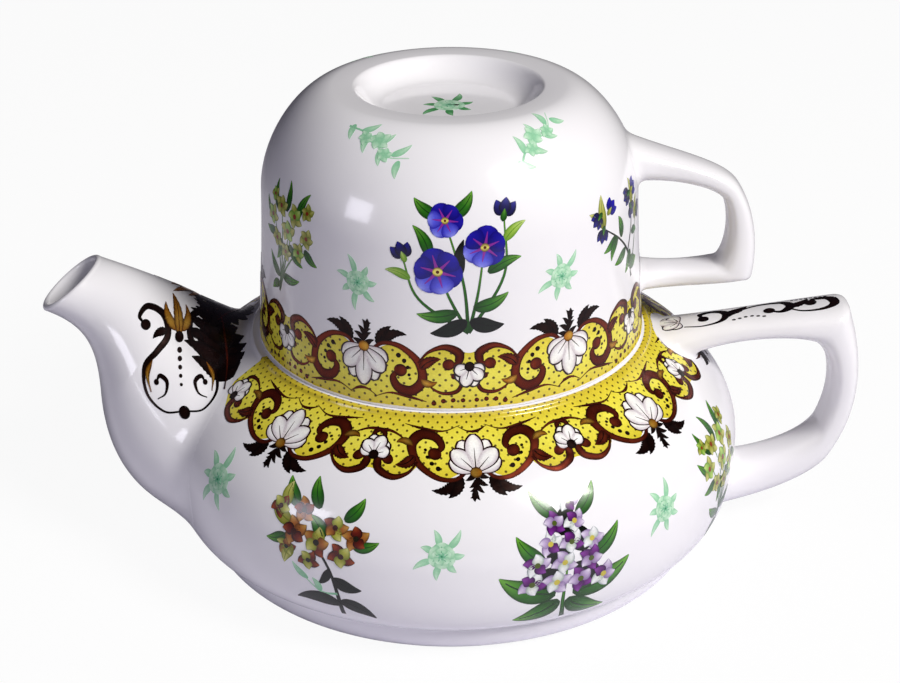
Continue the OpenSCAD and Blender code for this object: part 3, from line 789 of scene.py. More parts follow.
def through(points):
    """A smooth line through points, in equal steps between two neighbours."""
    p = np.asarray(points, float)
    p = np.concatenate([2 * p[:1] - p[1:2], p, 2 * p[-1:] - p[-2:-1]])
    return chain(*(
        cubic(b, b + (c - a) / 6, c - (d - b) / 6, c, STROKE_STEPS)
        for a, b, c, d in zip(p, p[1:], p[2:], p[3:])
    ))


def strip(sheet, at, line, half, along, edge, level=2):
    """A slab along a line, half as wide to each side as half says, shaded from a ramp of colours along its
    middle to one colour at both edges. A wider one has more points across, to lie closer on the surface."""
    line = np.asarray(line, float)
    across = 3 + 2 * int(min(np.max(half), 4) / 1.1)
    heading = unit(np.gradient(line, axis=0))
    out = np.stack([-heading[:, 1], heading[:, 0]], 1) * np.reshape(half, (-1, 1))
    u = np.linspace(-1, 1, across)
    rows = line[:, None] + u[:, None] * out[:, None]
    k = (np.abs(u) ** 2.5)[None, :, None]
    paint = shade(along, np.linspace(0, 1, len(line)))[:, None] * (1 - k) + rgb(edge) * k
    slab(sheet, at, rows, paint, level)


def disc(sheet, at, centre, radius, along, edge, level=3, fine=True):
    """A round spot of colour, with fewer points if it isn't fine."""
    b = np.radians(np.linspace(-78, 78, 11 if fine else 7))
    line = np.asarray(centre) + radius * np.stack([np.sin(b), 0 * b], 1)
    strip(sheet, at, line, radius * np.cos(b), along, edge, level)


def scroll(sheet, at, points, width, along, edge, level=2, ball=0.9, thin=0.22):
    """A pen stroke through points that swells past its middle, with a ball at its end. thin is its width at
    the ends as a share."""
    line = through(points)
    swell = np.sin(math.pi * np.linspace(0, 1, len(line)) ** 1.5) ** 1.4
    strip(sheet, at, line, width / 2 * (thin + (1 - thin) * swell), along, edge, level)
    if ball:
        disc(sheet, at, line[-1], ball * width, along[::-1], edge, level + 1)


def beads(sheet, at, points, first, last, along, edge, level=2):
    """Round beads along a line, shrinking from one radius to another."""
    line = through(points)
    run = np.concatenate([[0], np.cumsum(np.hypot(*np.diff(line, axis=0).T))])
    count = max(int(run[-1] / (first + last) / 1.25), 2)
    for t in np.linspace(0, 1, count):
        s = t * run[-1]
        centre = (np.interp(s, run, line[:, 0]), np.interp(s, run, line[:, 1]))
        disc(sheet, at, centre, first + t * (last - first), along, edge, level, False)


def leaf(sheet, at, base, tip, width, along, edge, rib=None, bow=0.14, level=2, teeth=0.0, n=16):
    """A pointed leaf from base to tip, bowed aside by a share of its length, widest a third of the way along,
    with saw teeth and a midrib if asked."""
    base, tip = np.asarray(base, float), np.asarray(tip, float)
    run = tip - base
    side = bow * np.array([-run[1], run[0]])
    line = cubic(base, base + run / 3 + side, base + run * 2 / 3 + side, tip, n)
    t = np.linspace(0.02, 0.985, len(line))
    half = width / 2 * np.sin(math.pi * t ** 0.72) ** 0.85 * (1 - teeth * (np.arange(len(line)) % 2))
    strip(sheet, at, line, half, along, edge, level)
    if rib:
        strip(sheet, at, line[1:-2], width * (0.05 - 0.03 * t[1:-2]), [rib], rib, level + 1)


def bearing(degrees):
    """A flat direction at a number of degrees from the first axis of a chart."""
    b = math.radians(degrees)
    return np.array([math.cos(b), math.sin(b)])


def fan(sheet, at, foot, radius, count, spread, along, edge, rim, level=2, aim=-90.0):
    """A fan of rounded leaves about a foot, each with a dark rim and a fine rib."""
    for k, a in enumerate(np.linspace(-spread, spread, count)):
        heading = bearing(aim + a)
        length = radius * (1 - 0.32 * abs(a) / max(spread, 1))
        width = 2.1 * radius * math.sin(math.radians(spread / max(count - 1, 1))) * 1.1
        share = 0.5 - 0.5 * np.cos(np.linspace(0.15, math.pi, 15))
        line = np.asarray(foot) + heading * share[:, None] * length
        half = width / 2 * np.sin(math.pi * np.clip(share, 0.03, 0.985) ** 1.5) ** 0.55
        step = level + 2 * (k % 2)
        strip(sheet, at, line + heading * 0.32 * share[:, None], half + 0.3, [rim], rim, step)
        strip(sheet, at, line, half, along, edge, step + 1)
        strip(sheet, at, line[2:9], np.linspace(0.16, 0.05, 7), [rim], rim, step + 2)


def plume(sheet, at, points, size, count, along, edge, level=2):
    """An acanthus plume: narrow leaflets on both sides of a curved spine, smaller towards its tip."""
    line = through(points)
    heading = unit(np.gradient(line, axis=0))
    for k, t in enumerate(np.linspace(0.04, 0.9, count)):
        at_row = int(t * (len(line) - 1))
        for sign in (-1, 1):
            b = math.radians(52 - 18 * t) * sign
            turned = heading[at_row] @ np.array([[math.cos(b), math.sin(b)], [-math.sin(b), math.cos(b)]])
            length = size * (1 - 0.5 * t)
            leaf(sheet, at, line[at_row], line[at_row] + turned * length, 0.42 * length, along, edge,
                 bow=-0.2 * sign, level=level + k % 2, n=7)
    end = line[-1] + heading[-1] * size * 0.4
    leaf(sheet, at, line[-4], end, 0.4 * size, along, edge, level=level + 1, n=7)
    strip(sheet, at, line, np.linspace(0.22, 0.08, len(line)) * size / 3, along, edge, level + 2)


# Metal lustre: a burnished film of metal whose colour comes from its inks. Its dark red brown and near black
# inks are partly the print's own colour and partly painted dark reflection, standing for gold that mirrors a
# dark room. Its bright gold ink is a painted highlight, gold as it gleams in the lamp. Its tone wanders a
# little as the film thins.
lustre, tree = finish_of("gold_lustre")
paint = node(tree, "ShaderNodeAttribute", attribute_name="paint").outputs["Color"]
place = node(tree, "ShaderNodeTexCoord").outputs["Object"]
film = node(tree, "ShaderNodeTexNoise", {"Vector": place, "Scale": 1 / 0.004, "Detail": 3.0})
worn = node(tree, "ShaderNodeMapRange", {
    "Value": film.outputs["Fac"], "From Min": 0.35, "From Max": 0.65, "To Min": 0.18, "To Max": 0.34,
})
body = node(tree, "ShaderNodeBsdfPrincipled", {
    "Base Color": screened(tree, paint), "Roughness": worn.outputs["Result"], "Metallic": 0.72,
    "IOR": 1.5, "Coat Weight": 0.15, "Coat Roughness": 0.05,
})
node(tree, "ShaderNodeOutputMaterial", {"Surface": body.outputs["BSDF"]})

# Flat enamel for flowers, leaves and white fans: the same glass as the ground, in its own colours.
enamel, tree = finish_of("printed_enamel")
paint = node(tree, "ShaderNodeAttribute", attribute_name="paint").outputs["Color"]
glassy(tree, screened(tree, paint))

# Each ink is a ramp of colours along a stroke's middle and one colour for its edges. The dark lustre inks are
# partly the print's own colour and partly painted dark reflection; the bright gold one is a painted
# highlight.
WINE = ["56160C", "8C3418", "661E0E", "7A2A12"], "2C0A05"
# Bright gold: a painted highlight, gold as it gleams in the lamp.
GOLD_PAINTED_GLINT = ["A8621A", "F0B848", "D89028", "B87020"], "4A2006"
INK = ["160806", "2A100A", "120604"], "0A0302"
CREAM = ["E8D8D8", "FFFFFF", "FFFDF4"], "CFC4CC"


def band_unit(gilt, at):
    """Half of one unit of the border, from its middle out to where the next begins, 22.5 mm along."""
    scroll(gilt, at, [(1.6, 12.4), (4.4, 14.6), (8.4, 14.2), (12.2, 11.0), (13.2, 6.9), (11.0, 4.3),
                      (8.0, 4.8), (6.8, 7.1), (8.4, 8.8)], 2.4, *WINE, 4, 0.6, 0.36)
    scroll(gilt, at, [(13.1, 9.0), (14.6, 5.8), (17.4, 4.0), (20.6, 4.4), (21.6, 6.6), (20.0, 7.9)], 1.0,
           *WINE, 3, 0.7)
    scroll(gilt, at, [(12.2, 10.8), (14.4, 13.4), (17.8, 14.6), (20.8, 13.2), (20.6, 10.9), (18.7, 10.6)],
           2.0, *WINE, 5, 0.65)
    scroll(gilt, at, [(2.6, 1.9), (6.2, 3.3), (10.4, 2.8), (14.2, 1.9)], 0.7, *WINE, 3, 0)
    beads(gilt, at, [(7.9, 12.2), (9.7, 10.4), (10.3, 7.9)], 0.56, 0.36, *INK, 3)
    leaf(gilt, at, (12.8, 9.4), (17.0, 11.8), 2.6, *WINE, INK[1], 0.2, 6, 0.16)
    # A small leaf in bright gold: a painted highlight.
    leaf(gilt, at, (13.0, 7.0), (16.4, 6.6), 1.8, *GOLD_PAINTED_GLINT, None, -0.3, 6)
    leaf(gilt, at, (4.0, 14.2), (9.6, 17.0), 2.6, *INK, None, 0.28, 3, 0.2)
    leaf(gilt, at, (3.4, 13.8), (6.2, 18.6), 2.4, *INK, None, 0.2, 3, 0.2)


def band_middle(gilt, white, at):
    """The middle of a unit: a white leaf fan with a boss of gold, painted bright as a highlight, over a dark
    plume, and a low swag near the straight edge."""
    plume(gilt, at, [(0, 12.6), (0.2, 15.4), (-0.4, 18.2)], 3.4, 4, *INK, 3)
    fan(white, at, (0, 13.0), 8.6, 7, 64, *CREAM, "2A0C08", 4)
    # The boss in bright gold: a painted highlight.
    disc(gilt, at, (0, 13.2), 1.25, *GOLD_PAINTED_GLINT, 10)
    scroll(gilt, at, [(-3.0, 2.2), (-1.4, 3.2), (0, 3.5), (1.4, 3.2), (3.0, 2.2)], 0.7, *WINE, 4, 0)


def band_rosette(gilt, white, at):
    """A white shell-shaped fan with a dark rim, where two units meet."""
    fan(white, at, (0, 2.4), 4.7, 6, 72, *CREAM, "1C0806", 6)
    disc(gilt, at, (0, 2.6), 1.1, *INK, 11)


ROSETTE_IN = 7.5


def border(chart, turn, unit_a, straight, sense, skip):
    """The gilt and the white of a whole border, leaving out what lies at an angle that skip names. The one
    that stands upside down has a row of beads near the rim as well."""
    gilt, white = [], []
    upright = 0 if sense > 0 else 180
    for k in range(round(360 / unit_a)):
        a = turn + k * unit_a
        if not skip(a):
            here = pose(chart, a, straight, upright)
            band_middle(gilt, white, here)
            for flip in (1, -1):
                half = pose(chart, a, straight, upright, flip=flip)
                band_unit(gilt, half)
                if sense < 0:
                    beads(gilt, half, [(15.8, 1.6), (18.6, 2.3), (22.0, 2.3)], 0.56, 0.5, *WINE, 3)
        if not skip(a + unit_a / 2):
            band_rosette(gilt, white, pose(chart, a + unit_a / 2, straight + sense * ROSETTE_IN, upright))
    return gilt, white


POT_BORDER, UNIT_GAP = 0.1, 27
pot_gilt, pot_white = border(
    pot_chart, POT_TURN, POT_UNIT, POT_BORDER, 1, lambda a: abs((a - SPOUT_AT + 180) % 360 - 180) < UNIT_GAP
)
printed("pot_gilding", pot_gilt, lustre)

# Gilding of the cup
# The same lustre border, six units round and upside down as the cup stands, with a row of beads near the
# rim. It goes all round, so a little of it is hidden under the handle's root.
cup_gilt, cup_white = border(cup_chart, CUP_TURN, CUP_UNIT, CUP_BORDER, -1, lambda a: False)
printed("cup_gilding", cup_gilt, lustre)

# Flower print of the pot
# Sprays of garden flowers stand below the border's small fans, three on each side, with pale green roses
# below its large ones. They are screened transfers in several enamels, and the border's white fans belong to
# the same sheet.
BLUE = ["0C0640", "1A1296", "241CB0"], "120A78"
PALE_BLUE = ["1A1296", "5A5CE4", "9EA4F6"], "2A24A8"
DUSK = ["120E36", "18145C", "26249A"], "0C0A2A"
VIOLET = ["2E0A38", "6A1C7C", "8E3CA6"], "38104A"
MAUVE = ["7A5A8A", "C0AAD2", "EFE8F6"], "8A72A2"
MILK = ["B8C8A8", "EEF0F0", "F6F6FC"], "9AA4A8"
RUST = ["2E0A06", "6E1C0C", "A44A1A"], "2A0C06"
AMBER = ["5A2A10", "A8642A", "C89A4A"], "5A3412"
STRAW = ["7A7A1E", "B4B44A", "D6D68A"], "6E7A22"
GREEN = ["123E10", "2E741A", "6EB038"], "163E12"
DARK = ["040804", "0A160A", "050A05"], "020402"
LIME = ["6A9A2A", "A4C850", "CDE088"], "5E8E2A"
MINT = ["7CC49A", "B4E2C0", "DDF3E0"], "96D0A8"
ROSE_HEART = ["4E9E74", "8CCCA4", "F0FAF0"], "6EBA92"


def flower(sheet, at, centre, radius, petals, codes, eye, turn, level, full, pale=None, vein=None):
    """An open flower seen from the front: broad petals that overlap in turn, a vein on each, and an eye.
    Petals that face down and to the left are in the paler colours if there are any."""
    centre = np.asarray(centre, float)
    for k in range(petals):
        heading = bearing(turn + 360 * k / petals)
        along, edge = pale if pale and heading @ [-0.6, 0.8] > 0.4 else codes
        share = 0.5 - 0.5 * np.cos(np.linspace(0.5, math.pi, 13))
        line = centre + heading * radius * (1 - 0.06 * (k % 2)) * share[:, None]
        wide = full * radius * math.sin(math.pi / petals)
        half = wide * np.sin(math.pi * np.clip(share, 0, 0.985) ** 1.7) ** 0.5
        strip(sheet, at, line, half, along, edge, level + k % 2)
        rib = vein or edge
        strip(sheet, at, line[1:8], wide * np.linspace(0.16, 0.03, 7), [rib], rib, level + 2)
    disc(sheet, at, centre, radius * 0.2, [eye, "F6E88A", eye], "5A3A10", level + 3)
    disc(sheet, at, centre, radius * 0.07, ["6A3A0C"], "4A2406", level + 4, False)


FLORET_PETALS = 5


def floret(sheet, at, centre, radius, ramps, eye, turn, level):
    """A small flower of pointed petals whose colours take turns, with a dark eye."""
    centre = np.asarray(centre, float)
    for k in range(FLORET_PETALS):
        tip = centre + bearing(turn + 360 * k / FLORET_PETALS) * radius * (1 - 0.16 * (k % 2))
        leaf(sheet, at, centre, tip, 0.84 * radius, *ramps[k % len(ramps)], bow=0.12,
             level=level + 0.6 * (k % 2), n=8)
    disc(sheet, at, centre, 0.2 * radius, [eye], eye, level + 1.4, False)


HEAD_STEP = 2.6


def head(sheet, at, places, ramps, eyes, level=5.0):
    """Florets given as x, y and radius. Each lies on the lowest layer that no floret it overlaps has
    taken."""
    layers = []
    for k, (x, y, r) in enumerate(places):
        taken = {layers[j] for j, (a, b, q) in enumerate(places[:k]) if math.hypot(x - a, y - b) < r + q}
        layers.append(min(set(range(k + 1)) - taken))
        floret(sheet, at, (x, y), r, ramps[k % len(ramps)], eyes[k % len(eyes)], 47 * k,
               level + HEAD_STEP * layers[k])


def side_flower(sheet, at, centre, radius, codes, cup_codes, turn, level):
    """A half-open flower seen from the side: three petals out of a green cup."""
    centre = np.asarray(centre, float)
    for a in (-38, 38, 0):
        tip = centre + radius * bearing(turn + a)
        leaf(sheet, at, centre, tip, 0.8 * radius, *codes, level=level + (a == 0), bow=a / 400, n=8)
    leaf(sheet, at, centre - 0.45 * radius * bearing(turn), centre + 0.32 * radius * bearing(turn),
         0.42 * radius, *cup_codes, level=level + 3, bow=0, n=7)


def stem(sheet, at, points, width, codes, level=2):
    """A stem that thins towards its end."""
    line = through(points)
    strip(sheet, at, line, np.linspace(width / 2, width / 5, len(line)), *codes, level)


def leaves(sheet, at, places, codes, level=3):
    """Leaves given as base, tip and width, bowed to either side in turn."""
    for k, (base, tip, width) in enumerate(places):
        leaf(sheet, at, base, tip, width, *codes, rib=codes[1], bow=0.14 if k % 2 else -0.12,
             level=level + k % 2)


def blue_posy(sheet, at):
    """Three open blue flowers of different size in a bunch, with two buds, on stems that meet below."""
    for bend, tip in (((-2.5, 9), (-5.2, 2)), ((3.6, 8), (5, -2)), ((0.4, 5), (-3.4, -9)),
                      ((9.5, 4), (9.6, -9)), ((-9.5, 9), (-12.8, 0))):
        stem(sheet, at, [(1.5, 17), bend, tip], 0.9, GREEN)
    leaves(sheet, at, [((1, 14), (-7, 17), 3.6), ((2, 14), (9.5, 15.5), 3.6), ((0, 3), (0.6, -5), 2.6)],
           DARK)
    leaves(sheet, at, [((-1, 12), (-10, 12.5), 3.2), ((2.6, 11), (10.5, 8), 3.2), ((6, 3), (13.5, 0), 3),
                       ((-2, -10), (2.6, -15.5), 3), ((-5, -10), (-10, -14), 3),
                       ((-7, -1), (-10.5, -8), 2.8)], GREEN)
    leaves(sheet, at, [((9.6, -4), (14.5, -8), 2.4), ((-11.4, 4.4), (-17, 2.6), 2.2)], LIME)
    side_flower(sheet, at, (9.6, -10), 3.6, DUSK, GREEN, -80, 4)
    side_flower(sheet, at, (-12.8, -1), 3.4, DUSK, LIME, -110, 4)
    for place, radius, turn in (((-5.2, 2.4), 5.6, 15), ((5.2, -3), 4.9, 40), ((-3.4, -9.2), 4.0, 5)):
        flower(sheet, at, place, radius, 6, BLUE, "E8DC3A", turn, 6, 1.0, PALE_BLUE, "8A2A9A")


def bell_spray(sheet, at):
    """Small blue flowers seen from the side, with green or straw coloured cups, on a forked stem."""
    stem(sheet, at, [(5, 17), (3.5, 9), (-1, 3), (-8, -3)], 0.9, DARK)
    stem(sheet, at, [(3.5, 9), (7, 3), (7.5, -3)], 0.8, DARK)
    stem(sheet, at, [(5, 15), (9, 9), (11, 3)], 0.7, GREEN)
    leaves(sheet, at, [((2, 7), (-4.5, 9), 2.8), ((4, 12), (10, 13.5), 4), ((5, 9), (1, 14), 3),
                       ((0, 3), (-1, -3.5), 2.6), ((-3, 1), (-9, 3.5), 2.4), ((-2, 2), (-6, 7), 2.6),
                       ((7, 5), (11.5, 6.5), 2.4)], GREEN)
    leaves(sheet, at, [((-8, -3), (-7, -12), 3.2), ((7.5, -3), (8, -10), 3), ((11, 3), (12.5, -3.5), 3),
                       ((-9, -4), (-13, -9), 2.4)], STRAW)
    for k, (x, y, turn) in enumerate([(-9.5, -7, 150), (-5, -7, -30), (-8.5, -2.6, 110), (6, -6.5, 170),
                                      (9.2, -6.5, -10), (7, -2.4, 60), (13, 1.2, 20)]):
        codes, cup_codes = (BLUE, STRAW) if k % 3 == 1 else (DUSK, GREEN)
        side_flower(sheet, at, (x, y), 3.3, codes, cup_codes, turn, 5 + 2 * (k % 2))


def straw_spray(sheet, at):
    """A loose head of small straw yellow flowers with rust red eyes, among narrow green leaves."""
    for tip in ((-6, -3), (-2, -8), (4, -6), (8, -1), (1, 1)):
        stem(sheet, at, [(-2, 16), (-1 + tip[0] * 0.2, 9), tip], 0.7, GREEN)
    leaves(sheet, at, [((-2, 12), (-8, 7.5), 2.6), ((-1, 11), (6.5, 10), 2.6), ((-5, 1), (-11, 2), 2.4),
                       ((8, 1), (12.5, 4), 2.4), ((-4, -5), (-6.5, -12), 2.2), ((0, -6), (-1, -13.5), 2.2),
                       ((5, -6), (7.5, -13), 2.4), ((-2, 14), (-6, 17), 2.4), ((-6, -1), (-11, -6), 2.4),
                       ((2, 2), (7.5, 6), 2.6), ((-2, 2), (-4, 8), 2.6)], GREEN)
    heads = [(-7, -2.6, 3.1), (-2.5, -6.6, 3), (3.6, -6, 3.2), (8.4, -2, 2.8), (1, -1.2, 3.2),
             (-4.2, 2.6, 2.7), (5.6, 2.6, 2.7), (8, -8.4, 2.4), (-6.6, -8, 2.2), (0.4, 4.4, 2.5)]
    head(sheet, at, heads, [[STRAW, LIME], [STRAW]], ["8A3412"])


def violet_truss(sheet, at):
    """An upright cone of small violet and pale flowers, in rows that narrow upwards, over broad leaves."""
    stem(sheet, at, [(1, 18), (0, 12), (0, 4)], 1.2, GREEN)
    leaves(sheet, at, [((-2, 10), (-15, 5), 6), ((2, 10), (15.5, 4), 6), ((-1, 12), (-10.5, 17), 5),
                       ((1, 12), (11, 16.5), 5), ((-5, 2), (-11.5, -4.5), 3.6), ((5, 2), (12, -5), 3.6),
                       ((-2, -8), (-7.5, -14), 3), ((2, -8), (7, -14.5), 3)], GREEN, 2)
    leaves(sheet, at, [((-7, 8), (0, 4), 5), ((7, 8), (1, 3), 5), ((-4, 2), (2, -3), 5),
                       ((4, 0), (-1, -6), 5), ((-1, -4), (1.5, -11), 4.4)], DARK, 4)
    rows = ((7.0, 4, 8.4), (2.2, 3, 6.2), (-2.4, 3, 4.8), (-6.8, 2, 2.3), (-11.0, 1, 0.0))
    heads = [(x + 0.7 * (-1) ** k, y, 3.5 + 0.05 * (y - 7.0))
             for k, (y, count, half) in enumerate(rows) for x in np.linspace(-half, half, count)]
    ramps = [[VIOLET, MILK, MAUVE], [MAUVE, MILK], [VIOLET, MAUVE], [MILK, VIOLET, MAUVE, MAUVE]]
    head(sheet, at, heads, ramps, ["4A5A18", "C8B848"], 6.0)


def amber_spray(sheet, at):
    """A head of flowers whose petals are amber, rust and straw coloured in turn, with dark leaves at its
    foot. It is drawn hanging, so it stands where it is turned half round."""
    stem(sheet, at, [(-6, -17), (-5, -11), (-3, -5), (1, 1)], 1.1, DARK)
    stem(sheet, at, [(-5, -11), (-1, -11.5), (4, -8)], 0.6, MINT)
    leaf(sheet, at, (-5.6, -14), (5, -15.5), 3.4, *DARK, None, 0.16, 4)
    leaves(sheet, at, [((-5.6, -13), (-13.5, -16), 3.4), ((-4, -7), (-10.5, -8.5), 3.2),
                       ((-3, -5), (-0.5, -9.5), 2)], DARK)
    leaves(sheet, at, [((2, -9), (6, -6), 1.6), ((-1, -11.5), (1, -8.5), 1.6)], MINT)
    leaves(sheet, at, [((6, 7), (10, 12.5), 3.2), ((-5, 7), (-8, 12.5), 3), ((1, 8), (3.6, 14.5), 3),
                       ((-8, 2), (-13.5, 4), 2.6), ((8, 0), (13, -2.5), 2.6), ((-1, 2), (3, 6), 3.4)],
           GREEN)
    leaves(sheet, at, [((7, 3), (12.5, 6), 3.4), ((6, -2), (8, -7), 3), ((9, 6), (9, 11.5), 2.8)], STRAW, 4)
    heads = [(-8.4, 3.8, 3.2), (-5.6, -1, 3.3), (0.4, 0.6, 3.6), (6, 1.4, 3.5), (2, -4.2, 2.8),
             (-3.4, 5, 3.1), (4.6, 6.6, 3), (10.4, 5.6, 2.8), (7.6, -2.8, 2.6)]
    head(sheet, at, heads, [[AMBER, RUST], [RUST, STRAW], [STRAW, AMBER, RUST]], ["1E1A08", "3A1208"])


def mint_rose(sheet, at, radius, leaf_codes=MINT):
    """A pale green rose: rings of petals that close towards a darker middle, and leaves round it."""
    for k in range(7):
        heading = bearing(51 * k + 20)
        leaf(sheet, at, heading * radius * 0.7, heading * radius * (1.6 + 0.35 * (k % 3)), 0.5 * radius,
             *leaf_codes, level=2)
    for ring, (share, petals) in enumerate([(1.0, 6), (0.66, 5)]):
        flower(sheet, at, (0, 0), radius * share, petals, MINT, "BCE6C4", 23 * ring, 3 + 3 * ring, 1.1,
               vein="5EAE84")
    floret(sheet, at, (0, 0), radius * 0.36, [ROSE_HEART], "3E8E66", 10, 10)


def mint_sprig(sheet, at, size):
    """A pale green sprig: a bent stem with leaves on either side in turn and small flowers at its middle."""
    bends = [(-9 * size, 2 * size), (-3 * size, 0), (4 * size, 1.5 * size), (9 * size, -1 * size)]
    stem(sheet, at, bends, 0.5, MINT)
    for k in range(7):
        x = (-8 + 2.6 * k) * size
        leaf(sheet, at, (x, 0.6 * size), (x + 2 * size, (-3.8 if k % 2 else 4.2) * size), 1.7 * size, *MINT,
             level=2 + k % 2)
    for k, (x, y, r) in enumerate([(0, -0.4, 2.8), (3.6, 1.4, 2.0), (-3.2, 1.2, 2.0)]):
        floret(sheet, at, (x * size, y * size), r * size, [MINT], MINT[1], 30 * k, 5 + 2 * (k > 0))


pot_flowers = list(pot_white)
for half_turn in (0, 180):
    amber_spray(pot_flowers, pose(pot_chart, -25 + half_turn, 32, 184))
    violet_truss(pot_flowers, pose(pot_chart, 21 + half_turn, 33, 4))
    straw_spray(pot_flowers, pose(pot_chart, 65 + half_turn, 32, -4))
    mint_rose(pot_flowers, pose(pot_chart, -51 + half_turn, 27), 3.6)
    mint_rose(pot_flowers, pose(pot_chart, -2 + half_turn, 31, 30), 3.0)
    mint_rose(pot_flowers, pose(pot_chart, 43 + half_turn, 31, 10), 3.0)
printed("pot_print", pot_flowers, enamel)

# Flower print of the cup
# Three sprays of the same enamels stand on each side of the wall, with pale green roses between them and
# sprigs on the shoulder. A rose with deeper green leaves lies in the dished foot.
cup_flowers = list(cup_white)
for half_turn in (0, 180):
    blue_posy(cup_flowers, pose(cup_chart, 3 + half_turn, 11.5, 0, 0.95))
    straw_spray(cup_flowers, pose(cup_chart, -56 + half_turn, 13, 4, 0.9))
    bell_spray(cup_flowers, pose(cup_chart, 60 + half_turn, 13, -6, 0.85))
    for turned in (-27, 33):
        mint_rose(cup_flowers, pose(cup_chart, turned + half_turn, 18, turned), 2.8)
        mint_sprig(cup_flowers, pose(cup_chart, turned + half_turn, -13, -turned), 0.95)


def flat_chart(spot, points, lift):
    """A chart of the level floor of the dished foot."""
    level = SEAT_Z + dish_z + lift + 0 * points[..., 0]
    return np.stack([spot[0] + points[..., 0], -spot[1] - points[..., 1], level], -1)


DEEP_MINT = ["1E6A3A", "4EA45E", "9AD2A2"], "3E8E4E"
mint_rose(cup_flowers, pose(flat_chart, 0, 0, 12), 3.6, DEEP_MINT)
printed("cup_print", cup_flowers, enamel)

# Gilding of the spout
# Each side of the spout carries a lyre of two S scrolls in the same lustre, with a bud between them in bright
# gold, a painted highlight. A dark sprig of toothed leaves fills the corner between the spout and the ledge;
# partly print, it is also painted shade that darkens that corner.


def swept_chart(grid):
    """A chart of a swept surface from its rings of points. A spot is a ring and a place in it, and points are
    mm on round the ring and mm on along the sweep, lifted off twice over, away from the ring's middle."""
    sides = grid.shape[1]
    middles = grid.mean(1)

    def on(i, k):
        i = np.clip(i, 0, len(grid) - 1.001)
        k = k % sides
        low, left = i.astype(int), k.astype(int) % sides
        right = (left + 1) % sides
        p, q = (i - low)[..., None], (k - np.floor(k))[..., None]
        near = grid[low, left] * (1 - q) + grid[low, right] * q
        return near * (1 - p) + (grid[low + 1, left] * (1 - q) + grid[low + 1, right] * q) * p

    def chart(spot, points, lift):
        i0, k0 = spot
        column = grid[:, k0]
        run = np.concatenate([[0], np.cumsum(np.linalg.norm(np.diff(column, axis=0), axis=1))])
        pace = np.linalg.norm(grid[:, (k0 + 1) % sides] - grid[:, k0 - 1], axis=1) / 2
        i = np.interp(np.interp(i0, np.arange(len(grid)), run) + points[..., 1], run, np.arange(len(grid)))
        k = k0 + points[..., 0] / np.interp(i, np.arange(len(grid)), pace)
        flat = on(i, k)
        normal = unit(np.cross(on(i + 0.6, k) - on(i - 0.6, k), on(i, k + 0.6) - on(i, k - 0.6)))
        away = flat - middles[np.clip(i.astype(int), 0, len(grid) - 1)]
        normal *= np.sign((away * normal).sum(-1, keepdims=True))
        return flat + 2 * lift * normal

    return chart


def lyre(gilt, at):
    """A lyre of two S scrolls that mirror each other, with a bud between them and a drop below. The bud, a
    leaf on each side of it and a short stroke in each scroll are in bright gold, a painted highlight.
    """
    for side in (-1, 1):
        def half(points, lift, side=side):
            return at(points * [side, 1], lift)

        scroll(gilt, half, [(0.9, 12.4), (5.4, 12.2), (9.4, 8.6), (9.8, 3.2), (6.4, -0.6), (3.4, -4.6),
                            (4.6, -9.4), (8.8, -11.2), (11.2, -8.6), (9.6, -6.6)], 1.9, *INK, 3, 0.7)
        scroll(gilt, half, [(6.6, 9.6), (4.4, 8.4), (3.8, 5.8), (5.6, 4.6), (6.6, 6.0)], 1.1, *INK, 4, 0.6)
        # A stroke in bright gold: a painted highlight.
        scroll(gilt, half, [(8.2, 8.2), (9.0, 4.6), (7.6, 1.4)], 1.3, *GOLD_PAINTED_GLINT, 6, 0, 0.15)
        leaf(gilt, half, (3.6, -5.4), (7.6, -3.4), 2.2, *INK, None, -0.2, 5, 0.14)
        # A leaf in bright gold: a painted highlight.
        leaf(gilt, half, (0.6, -6.0), (3.4, -12.6), 2.6, *GOLD_PAINTED_GLINT, None, 0.24, 6, 0.1)
    # The bud in bright gold: a painted highlight.
    leaf(gilt, at, (0, -4.6), (0, -15.4), 3.2, *GOLD_PAINTED_GLINT, "6A3A0C", 0, 7, 0.1)
    disc(gilt, at, (0, -4.4), 1.3, *INK, 9)
    beads(gilt, at, [(0, -1.4), (0, 2.4), (0, 6.4)], 0.7, 0.4, *INK, 3)
    disc(gilt, at, (0, 12.6), 1.5, *INK, 5)


def corner_shade_sprig(gilt, at):
    """A dark sprig of toothed leaves in pairs on a curved rib: partly print, partly painted shade that
    darkens the corner it fills.
    """
    ranks = [(10.2, 6.4), (7.0, 8.2), (3.8, 8.8), (0.6, 8.4), (-2.6, 7.2), (-5.6, 5.4)]
    for rank, (y, length) in enumerate(ranks):
        for side, share in ((-1, 1.15), (1, 0.6)):
            leaf(gilt, at, (-0.7 * side, y), (side * share * length, y - 4.4), 4.6, *INK, None, -0.14 * side,
                 3 + side + rank % 2, 0.14)
    leaf(gilt, at, (0, -5), (0, -13.4), 4.4, *INK, None, 0, 6, 0.14)
    scroll(gilt, at, [(0, 13), (0.4, 5), (0, -3), (0, -10)], 0.8, *WINE, 8, 0)


